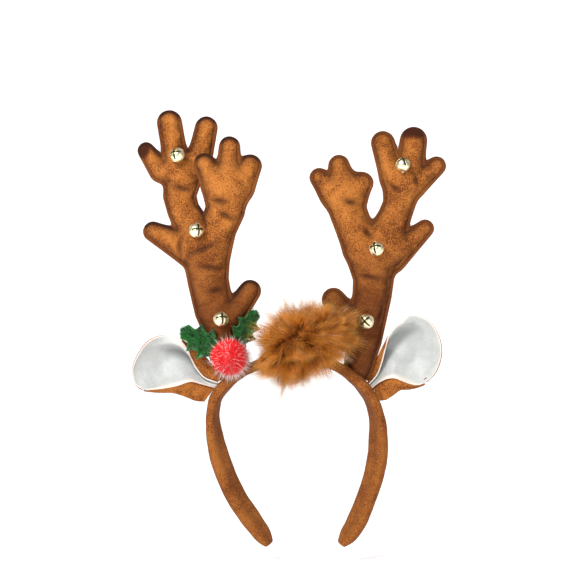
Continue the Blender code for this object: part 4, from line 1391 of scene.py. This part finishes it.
def fur_coat_mesh(name, seed, longest, wispy):
    """One coat of hairs, drawn together in locks and combed over."""
    setting = bpy.context.scene.headband_fur
    dice = np.random.default_rng(seed)
    amount = setting.hairs // 1
    ways = ball_points(int(amount * 1.5), dice)
    roots = fur_place(ways, FUR_ROOT_SHARE)
    outer = (roots[:, 1] < HEAD_ROOM_FRONT + 1) | (roots[:, 2] > 6.5)
    pick = np.flatnonzero(outer)
    pick = pick[np.linspace(0, len(pick) - 1, min(amount, len(pick))).astype(int)]
    ways = ways[pick]
    roots = roots[pick]
    locks = ball_points(FUR_LOCKS, dice)
    nearest = np.argmax(ways @ locks.T, axis=1)
    lean = dice.normal(0, 0.34, locks.shape)
    comb = np.stack(
        [
            0.25 + 0.5 * smooth_step((roots[:, 0] - 10) / 25) - 0.8 * smooth_step((0 - roots[:, 0]) / 18),
            -0.25 - 0.5 * smooth_step((12 - roots[:, 2]) / 14),
            0.25 - 0.75 * smooth_step((32 - roots[:, 2]) / 22),
        ],
        axis=1,
    )
    gathered = locks[nearest] - 0.85 * ways
    heading = OUTWARD * ways + GATHERED * gathered + LEANING * lean[nearest] + COMBED * comb
    heading += dice.normal(0, HAIR_DISORDER, ways.shape)
    heading /= np.linalg.norm(heading, axis=1)[:, None]
    bends = 0.28 * comb + 0.22 * lean[nearest] + dice.normal(0, 0.10, ways.shape)
    lock_length = dice.uniform(0.6, 1.0, len(locks))[nearest]
    lengths = longest * lock_length * dice.uniform(0.7, 1.0, len(ways))
    tips = roots + lengths[:, None] * (heading + bends)
    in_band = (tips[:, 1] > HEAD_ROOM_FRONT - 0.5) & (tips[:, 2] < 7.0)
    push = np.where(in_band, (tips[:, 1] - HEAD_ROOM_FRONT + 1.0) / lengths, 0.0)
    bends[:, 1] -= push
    radii = dice.uniform(0.7, 1.0, len(ways)) * setting.thickness / MM / 2
    tints = np.clip(dice.normal(0.6, 0.3, len(ways)), 0, 1)
    wisp = (dice.random(len(ways)) < wispy).astype(float)
    return strand_mesh(
        name, roots, heading, bends, lengths, radii, tints, HAIR_STOPS, {"wisp": wisp}
    )


def fur_wisp_mesh(name, seed):
    """The longest, thinnest hairs, in a few pale tufts that stand out above and below the strip."""
    setting = bpy.context.scene.headband_fur
    dice = np.random.default_rng(seed)
    rows = np.array(list(FUR_WISPS), WISP_ROW)
    per = setting.wisp_hairs // len(rows)
    roots = []
    headings = []
    lengths = []
    for row in rows:
        start = np.array([row["x1"], row["y"], row["z1"]])
        end = np.array([row["x2"], row["y"] - 3.0, row["z2"]])
        root = start + WISP_DEPTH * (np.array(FUR_CENTRE) - start)
        root = root + dice.normal(0, 1, (per, 3)) * [row["spread"], 2.0, row["spread"]]
        aim = end + dice.normal(0, 1, (per, 3)) * [0.9, 1.2, 0.9] - root
        reach = np.linalg.norm(aim, axis=1)
        roots.append(root)
        headings.append(aim / reach[:, None])
        lengths.append(reach * np.sqrt(dice.uniform(0.25, 1.0, per)))
    roots = np.concatenate(roots)
    headings = np.concatenate(headings)
    lengths = np.concatenate(lengths)
    bends = dice.normal(0, 0.03, roots.shape)
    radii = dice.uniform(0.45, 0.7, len(roots)) * setting.thickness / MM / 2
    tints = np.clip(dice.normal(0.7, 0.2, len(roots)), 0, 1)
    wisp = np.ones(len(roots))
    return strand_mesh(
        name, roots, headings, bends, lengths, radii, tints, HAIR_STOPS, {"wisp": wisp}
    )


def pompom_centre():
    """Its back rests where the solid pompom's does."""
    x, z = POMPOM_PLACE
    return np.array([x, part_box("pompom")[1].y / MM - POMPOM_RADIUS, z])


def pompom_strands_mesh():
    """Film strands all round; the clear-tipped ones stand out further, most of them low on the right."""
    setting = bpy.context.scene.headband_tinsel
    dice = np.random.default_rng(21)
    amount = setting.strands // 1
    ways = ball_points(amount, dice)
    ways = ways[ways[:, 1] < 0.55]
    roots = pompom_centre() + ways * POMPOM_ROOTS
    heading = ways + dice.normal(0, 0.20, ways.shape)
    bends = dice.normal(0, 0.16, ways.shape) + [0.0, 0.0, -0.05]
    low_right = smooth_step((ways[:, 0] - ways[:, 2] + 0.2) / 1.2)
    toward_back = smooth_step((0.4 + ways[:, 1]) / 0.5)
    chance = PALE_CHANCE + PALE_CHANCE_LOW_RIGHT * low_right * toward_back
    pale = dice.random(len(ways)) < chance
    tints = np.where(pale, dice.uniform(0, 0.29, len(ways)), dice.uniform(0.31, 1.0, len(ways)))
    lengths = np.where(pale, dice.uniform(7.5, 11.5, len(ways)), dice.uniform(4.2, 6.8, len(ways)))
    radii = np.where(pale, 0.21, 0.27) * dice.uniform(0.8, 1.1, len(ways))
    return strand_mesh("pompom_strands", roots, heading, bends, lengths, radii, tints, FILM_STOPS)


def pompom_core_mesh():
    bm = bmesh.new()
    bmesh.ops.create_icosphere(bm, subdivisions=5, radius=1.0)
    centre = Vector(pompom_centre())
    for vert in bm.verts:
        way = vert.co.normalized()
        reach = POMPOM_CORE + (1.1 * ripple(*way, 0.22) if way.y < 0.6 else 0.0)
        vert.co = centre + way * reach
    return mesh_in_metres(bm, "pompom_core")


def leaf_point(row, along, across, front):
    """A point of the spiny leaf: its half width swells between the ends and peaks at each spine."""
    base_x, base_z, tip_x, tip_z, width = row
    run = Vector((tip_x - base_x, 0.0, tip_z - base_z))
    sideways = Vector((-run.z, 0.0, run.x)).normalized()
    spine = 1 - abs(2 * ((along * LEAF_SPINES) % 1) - 1)
    spine = spine**1.8
    leaf_swell = (math.sin(math.pi * along**0.8) ** 0.7) if 0 < along < 1 else 0.0
    half_width = width / 2 * leaf_swell * (1 - SPINE_DEPTH * (1 - spine))
    lean = 0.5 * abs(across) * spine / (2 * LEAF_SPINES) * leaf_swell
    curl = LEAF_CURL * (across**2 * leaf_swell - 0.4)
    rib = 0.5 * math.exp(-((across / 0.08) ** 2))
    ruck = 0.5 * ripple(along * 30, across * 8, 0.0, 3.0)
    place = Vector((base_x, front, base_z)) + run * (along + lean)
    return place + sideways * (across * half_width) - Vector((0, curl + rib + ruck, 0))


def leaf_front(name):
    """How far forward a leaf's film lies."""
    low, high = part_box(name)
    return (low.y + high.y) / 2 / MM + 0.2 * LEAF_CURL


def leaf_mesh(name, row):
    steps = 12 * LEAF_SPINES
    bm = bmesh.new()
    bmesh.ops.create_grid(bm, x_segments=steps, y_segments=18, size=1.0)
    front = leaf_front(name)
    for vert in bm.verts:
        vert.co = leaf_point(row, (vert.co.x + 1) / 2, vert.co.y, front)
    bmesh.ops.remove_doubles(bm, verts=bm.verts, dist=0.03)
    return mesh_in_metres(bm, f"{name}_film")


def leaf_strands_mesh(name, row, seed):
    """Short film strands laid over a leaf, most of them running out to its edge and tip."""
    setting = bpy.context.scene.headband_tinsel
    dice = np.random.default_rng(seed)
    amount = setting.leaf_strands // 1
    base_x, base_z, tip_x, tip_z = row[:4]
    run = np.array([tip_x - base_x, 0.0, tip_z - base_z])
    run /= np.linalg.norm(run)
    sideways = np.array([-run[2], 0.0, run[0]])
    along = dice.uniform(0.03, 0.93, amount)
    across = dice.uniform(-0.92, 0.92, amount)
    front = leaf_front(name)
    roots = np.array([leaf_point(row, a, c, front) for a, c in zip(along, across)])
    faces = np.where(dice.random(amount) < 0.7, -1.0, 1.0)
    roots[:, 1] += faces * 0.5
    heading = run * dice.normal(0.6, 0.6, amount)[:, None]
    heading = heading + sideways * (np.sign(across) * 0.45 + dice.normal(0, 0.6, amount))[:, None]
    heading[:, 1] = faces * dice.uniform(0.02, 0.30, amount)
    bends = dice.normal(0, 0.22, (amount, 3)) * [1, 0.3, 1]
    edge_room = np.clip(1.15 - np.abs(across), 0.2, 1.0)
    lengths = dice.uniform(2.2, 5.0, amount) * edge_room
    radii = dice.uniform(0.12, 0.2, amount)
    tints = dice.random(amount)
    return strand_mesh(f"{name}_strands", roots, heading, bends, lengths, radii, tints, FILM_STOPS)


def bell_bmesh(wall):
    """A ball of sheet metal about its own centre, with a cross of slots ending in holes."""
    bm = bmesh.new()
    bmesh.ops.create_cube(bm, size=2.0)
    bmesh.ops.subdivide_edges(bm, edges=bm.edges, cuts=23, use_grid_fill=True)
    for vert in bm.verts:
        across = [math.tan(part * math.pi / 4) for part in vert.co]
        vert.co = Vector(across).normalized()
    slots = []
    for face in bm.faces:
        middle = face.calc_center_median().normalized()
        from_axis = math.acos(max(-1.0, min(1.0, middle.z)))
        off = min(abs(middle.x), abs(middle.y))
        hole = abs(from_axis - SLOT_END) < HOLE_REACH and off < HOLE_HALF_WIDTH
        if middle.z > 0 and ((from_axis < SLOT_END and off < SLOT_HALF_WIDTH) or hole):
            slots.append(face)
    bmesh.ops.delete(bm, geom=slots, context="FACES")
    outer = BELL_RADIUS - wall / 2
    for vert in bm.verts:
        way = vert.co.normalized()
        waist = 0.035 * math.exp(-((way.z / 0.07) ** 2))
        lip = 0.05 * math.exp(-((min(abs(way.x), abs(way.y)) / 0.12) ** 2)) if way.z > 0.5 else 0.0
        squared = 1 + 0.05 * (abs(way.x) ** 4 + abs(way.y) ** 4 - 0.5)
        vert.co = way * outer * (1 + waist - lip) * squared
    return bm


def bell_mesh(name, place, turn, wall):
    bm = bell_bmesh(wall)
    bmesh.ops.recalc_face_normals(bm, faces=bm.faces)
    bmesh.ops.solidify(bm, geom=list(bm.faces), thickness=wall)
    bmesh.ops.create_cone(
        bm,
        cap_ends=True,
        segments=20,
        radius1=1.1,
        radius2=1.5,
        depth=1.8,
        matrix=Matrix.Translation((0, 0, -BELL_RADIUS - 0.5)),
    )
    bmesh.ops.transform(bm, matrix=Matrix.Translation(place) @ turn.to_4x4(), verts=bm.verts)
    mesh = mesh_in_metres(bm, name)
    centre = np.array(place)
    co = np.empty(len(mesh.vertices) * 3)
    mesh.vertices.foreach_get("co", co)
    off = co.reshape(-1, 3) / MM - centre
    inside = np.linalg.norm(off, axis=1) < BELL_RADIUS - 0.8 * wall
    # Painted shade on the bell's inner wall
    paint(mesh, "groove", inside.astype(float) * 0.9)
    return mesh


def seam_places(limbs, allowance, cell, pitch):
    """Places a pitch apart along the stitch line, and the way the line runs at each."""
    bm = grid_over(limbs, cell)
    cut_to_outline(bm, limbs, -allowance, cell)
    places = []
    ways = []
    left = {vert for edge in bm.edges if edge.is_boundary for vert in edge.verts}
    while left:
        vert = min(left, key=lambda one: (one.co.x, one.co.z))
        loop = []
        while vert is not None:
            left.discard(vert)
            loop.append((vert.co.x, vert.co.z))
            onward = [edge.other_vert(vert) for edge in vert.link_edges if edge.is_boundary]
            vert = next((other for other in onward if other in left), None)
        line = np.array(loop + loop[:1])
        reach = np.concatenate(([0.0], np.cumsum(np.linalg.norm(np.diff(line, axis=0), axis=1))))
        at = np.arange(pitch / 2, reach[-1], pitch)
        here = np.stack([np.interp(at, reach, line[:, axis]) for axis in (0, 1)], axis=1)
        ahead = np.stack([np.interp(at + 0.4, reach, line[:, axis]) for axis in (0, 1)], axis=1)
        places.append(here)
        ways.append(ahead - here)
    bm.free()
    return np.concatenate(places), np.concatenate(ways)


def stitch_mesh(side, table, fold):
    """Stitches of dark thread in the groove round an antler, front and back."""
    setting = bpy.context.scene.headband_antlers
    allowance = setting.seam_allowance / MM
    limbs = cut_limbs(side, table)
    cell = 2 * setting.cell / MM
    places, ways = seam_places(list(limbs.values()), allowance, cell, setting.stitch / MM)
    folded, shift = fold(places, limbs)
    ahead = fold(places + ways, limbs)[0] - folded
    reach = GROOVE_HALF_THICKNESS + 0.25
    roots = []
    headings = []
    for face in (-1, 1):
        for direction in (-1, 1):
            roots.append(np.stack([folded[:, 0], shift + face * reach, folded[:, 1]], axis=1))
            headings.append(np.stack([ahead[:, 0], 0 * shift, ahead[:, 1]], axis=1) * direction)
    roots = np.concatenate(roots)
    headings = np.concatenate(headings)
    lengths = np.full(len(roots), 0.36 * setting.stitch / MM)
    radii = np.full(len(roots), 0.5 * setting.thread / MM)
    bends = np.zeros(roots.shape)
    tints = np.full(len(roots), 0.5)
    name = f"antler_{side}_stitches"
    return strand_mesh(name, roots, headings, bends, lengths, radii, tints, (0, 0.7, 1.0))


class HEADBAND_OT_stage(bpy.types.Operator):
    """Set the pale floor, the soft light and the camera"""

    bl_idname = "headband.stage"
    bl_label = "Stage"

    def execute(self, context):
        setting = context.scene.headband_stage
        low = CAD_BOX[0][2] / MM
        bm = bmesh.new()
        bmesh.ops.create_grid(bm, x_segments=1, y_segments=24, size=1.0)
        for vert in bm.verts:
            along = (vert.co.y + 1) / 2
            bend = math.pi / 2 * float(np.clip((along - 0.45) / 0.25, 0, 1))
            flat = min(along, 0.45) / 0.45 * FLOOR_FLAT
            up = max(along - 0.70, 0.0) / 0.30 * FLOOR_RISE
            y = FLOOR_FRONT + flat + FLOOR_RADIUS * math.sin(bend)
            z = low - FLOOR_DROP + FLOOR_RADIUS * (1 - math.cos(bend)) + up
            vert.co = (vert.co.x * FLOOR_HALF_WIDTH, y, z)
        mesh = mesh_in_metres(bm, "floor", recalculate=False)
        floor = bpy.data.objects.new("floor", mesh)
        mesh.materials.append(floor_material())
        context.scene.collection.objects.link(floor)
        for name, (place, width) in LIGHTS.items():
            self.add_light(context, name, place, width, getattr(setting, f"{name}_power"))
        world = bpy.data.worlds.new("studio")
        world.use_nodes = True
        sky = world.node_tree.nodes["Background"]
        sky.inputs["Color"].default_value = (1.0, 1.0, 1.0, 1.0)
        sky.inputs["Strength"].default_value = setting.world_strength
        context.scene.world = world
        context.scene.view_settings.view_transform = "Standard"
        camera = bpy.data.objects.new("camera", bpy.data.cameras.new("camera"))
        camera.data.lens = CAMERA_LENS
        camera.data.sensor_width = 36.0
        camera.data.clip_end = 20.0
        aim_x, aim_z = CAMERA_AIM
        camera.location = Vector((aim_x, -CAMERA_AWAY, aim_z)) * MM
        camera.rotation_euler = (math.pi / 2, 0.0, 0.0)
        context.scene.collection.objects.link(camera)
        context.scene.camera = camera
        return {"FINISHED"}

    def add_light(self, context, name, place, width, power):
        light = bpy.data.lights.new(name, "AREA")
        light.size = width * MM
        light.energy = power
        obj = bpy.data.objects.new(name, light)
        obj.location = Vector(place) * MM
        away = Vector(place) - Vector(LIGHT_AIM)
        obj.rotation_euler = away.to_track_quat("Z", "Y").to_euler()
        context.scene.collection.objects.link(obj)


class HEADBAND_OT_band(bpy.types.Operator):
    """Cover the padded band with velour"""

    bl_idname = "headband.band"
    bl_label = "Band"

    def execute(self, context):
        cover = add_piece(
            "headband_cover", band_mesh(), velour_material(), ["headband"]
        )
        subdivide(cover)
        return {"FINISHED"}


class HEADBAND_OT_antlers(bpy.types.Operator):
    """Sew and stuff the two antlers"""

    bl_idname = "headband.antlers"
    bl_label = "Antlers"

    def execute(self, context):
        sides = {
            "left": (LEFT_ANTLER, LEFT_CREASES, LEFT_DARK_SPOTS, fold_left),
            "right": (RIGHT_ANTLER, RIGHT_CREASES, RIGHT_DARK_SPOTS, stay_flat),
        }
        for side, (table, creases, spots, fold) in sides.items():
            mesh = antler_mesh(side, table, creases, spots, fold)
            cover = add_piece(
                f"antler_{side}_cover", mesh, velour_material(), [f"antler_{side}"]
            )
            subdivide(cover)
            sewing = stitch_mesh(side, table, fold)
            add_piece(f"antler_{side}_stitches", sewing, thread_material())
        return {"FINISHED"}


class HEADBAND_OT_ears(bpy.types.Operator):
    """Shape the ears: a velour shell and a satin lining"""

    bl_idname = "headband.ears"
    bl_label = "Ears"

    def execute(self, context):
        setting = context.scene.headband_ears
        ears = {
            "left": (LEFT_EAR_UPPER, LEFT_EAR_LOWER, LEFT_SHELL_UPPER, LEFT_SHELL_LOWER, 0.16, 0.080),
            "right": (
                RIGHT_EAR_UPPER, RIGHT_EAR_LOWER, RIGHT_SHELL_UPPER, RIGHT_SHELL_LOWER, 0.10, 0.078
            ),
        }
        for side, (upper, lower, flap, skirt, strip, long_side) in ears.items():
            bm, rims = ear_surface(upper, lower, strip)
            mesh = mesh_in_metres(bm, f"ear_{side}_satin", recalculate=False)
            paint(mesh, "rim", rims)
            node = f"ear_{side}_lining"
            satin = add_piece(f"ear_{side}_satin", mesh, satin_material(), [node])
            thicken(satin, setting.lining_thickness)
            subdivide(satin)
            bm, rims = ear_surface(upper, lower, strip, (flap, skirt))
            mesh = mesh_in_metres(bm, f"ear_{side}_velour", recalculate=False)
            node = f"ear_{side}_shell"
            velour = add_piece(f"ear_{side}_velour", mesh, velour_material(), [node])
            thicken(velour, setting.shell_thickness)
            subdivide(velour)
        return {"FINISHED"}


class HEADBAND_OT_fur(bpy.types.Operator):
    """Grow the fur strip's undercoat and its two coats of hair"""

    bl_idname = "headband.fur"
    bl_label = "Fur"

    def execute(self, context):
        setting = context.scene.headband_fur
        longest = setting.longest / MM
        hair = fur_material()
        add_piece("fur_undercoat", fur_body_mesh(), undercoat_material(), ["fur_tuft"])
        under = fur_coat_mesh("fur_hairs", 31, longest * 0.75, 0.0)
        add_piece("fur_hairs", under, hair, ["fur_tuft"])
        over = fur_coat_mesh("fur_guard_hairs", 47, longest, 0.05)
        add_piece("fur_guard_hairs", over, hair, ["fur_tuft"])
        add_piece("fur_wisps", fur_wisp_mesh("fur_wisps", 53), hair, ["fur_tuft"])
        return {"FINISHED"}


class HEADBAND_OT_pompom(bpy.types.Operator):
    """Make the red tinsel pompom"""

    bl_idname = "headband.pompom"
    bl_label = "Pompom"

    def execute(self, context):
        film = pompom_material()
        add_piece("pompom_core", pompom_core_mesh(), film, ["pompom"])
        add_piece("pompom_strands", pompom_strands_mesh(), film, ["pompom"])
        return {"FINISHED"}


class HEADBAND_OT_holly(bpy.types.Operator):
    """Make the two holly leaves"""

    bl_idname = "headband.holly"
    bl_label = "Holly"

    def execute(self, context):
        film = holly_material()
        for seed, (name, row) in enumerate(LEAVES.items()):
            mesh = leaf_mesh(name, row)
            leaf = add_piece(f"{name}_film", mesh, film, [name])
            thicken(leaf, FILM_THICKNESS * MM)
            strands = leaf_strands_mesh(name, row, 60 + seed)
            add_piece(f"{name}_strands", strands, film, [name])
        return {"FINISHED"}


class HEADBAND_OT_bells(bpy.types.Operator):
    """Make the six jingle bells and finish their pellets"""

    bl_idname = "headband.bells"
    bl_label = "Bells"

    def execute(self, context):
        setting = context.scene.headband_bells
        gold = bell_material()
        steel = steel_material()
        for name, (face_x, face_z, roll) in BELLS.items():
            low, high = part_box(f"bell_pellet_{name}")
            place = (low + high) / 2 / MM + Vector((0, 0, PELLET_DROP))
            face = Vector((face_x, -math.sqrt(1 - face_x**2 - face_z**2), face_z))
            turn = face.to_track_quat("Z", "Y").to_matrix() @ Matrix.Rotation(roll, 3, "Z")
            mesh = bell_mesh(f"bell_{name}_gold", place, turn, setting.wall / MM)
            add_piece(f"bell_{name}_gold", mesh, gold, [f"bell_{name}"])
            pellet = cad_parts[f"bell_pellet_{name}"]
            for holder in pellet.material_slots:
                holder.material = steel
        return {"FINISHED"}


class HEADBAND_PT_panel(bpy.types.Panel):
    """The steps that dress the headband, in order"""

    bl_idname = "HEADBAND_PT_panel"
    bl_label = "Reindeer headband"
    bl_space_type = "VIEW_3D"
    bl_region_type = "UI"
    bl_category = "Headband"

    def draw(self, context):
        for step in STEPS:
            self.layout.operator(step.bl_idname)
        for name in SETTINGS:
            box = self.layout.box()
            group = getattr(context.scene, name)
            for label in group.bl_rna.properties.keys():
                if label not in ("rna_type", "name"):
                    box.prop(group, label)


STEPS = (
    HEADBAND_OT_stage,
    HEADBAND_OT_band,
    HEADBAND_OT_antlers,
    HEADBAND_OT_ears,
    HEADBAND_OT_fur,
    HEADBAND_OT_pompom,
    HEADBAND_OT_holly,
    HEADBAND_OT_bells,
)
SETTINGS = {
    "headband_velour": VelourSettings,
    "headband_antlers": AntlerSettings,
    "headband_ears": EarSettings,
    "headband_fur": FurSettings,
    "headband_tinsel": TinselSettings,
    "headband_bells": BellSettings,
    "headband_stage": StageSettings,
}


def register():
    for name, group in SETTINGS.items():
        bpy.utils.register_class(group)
        setattr(bpy.types.Scene, name, PointerProperty(type=group))
    for step in STEPS:
        bpy.utils.register_class(step)
    bpy.utils.register_class(HEADBAND_PT_panel)


def unregister():
    bpy.utils.unregister_class(HEADBAND_PT_panel)
    for step in reversed(STEPS):
        bpy.utils.unregister_class(step)
    for name, group in SETTINGS.items():
        delattr(bpy.types.Scene, name)
        bpy.utils.unregister_class(group)


def main():
    register()
    for step in STEPS:
        action = step.bl_idname.split(".")[1]
        getattr(bpy.ops.headband, action)()


if __name__ == "__main__":
    main()
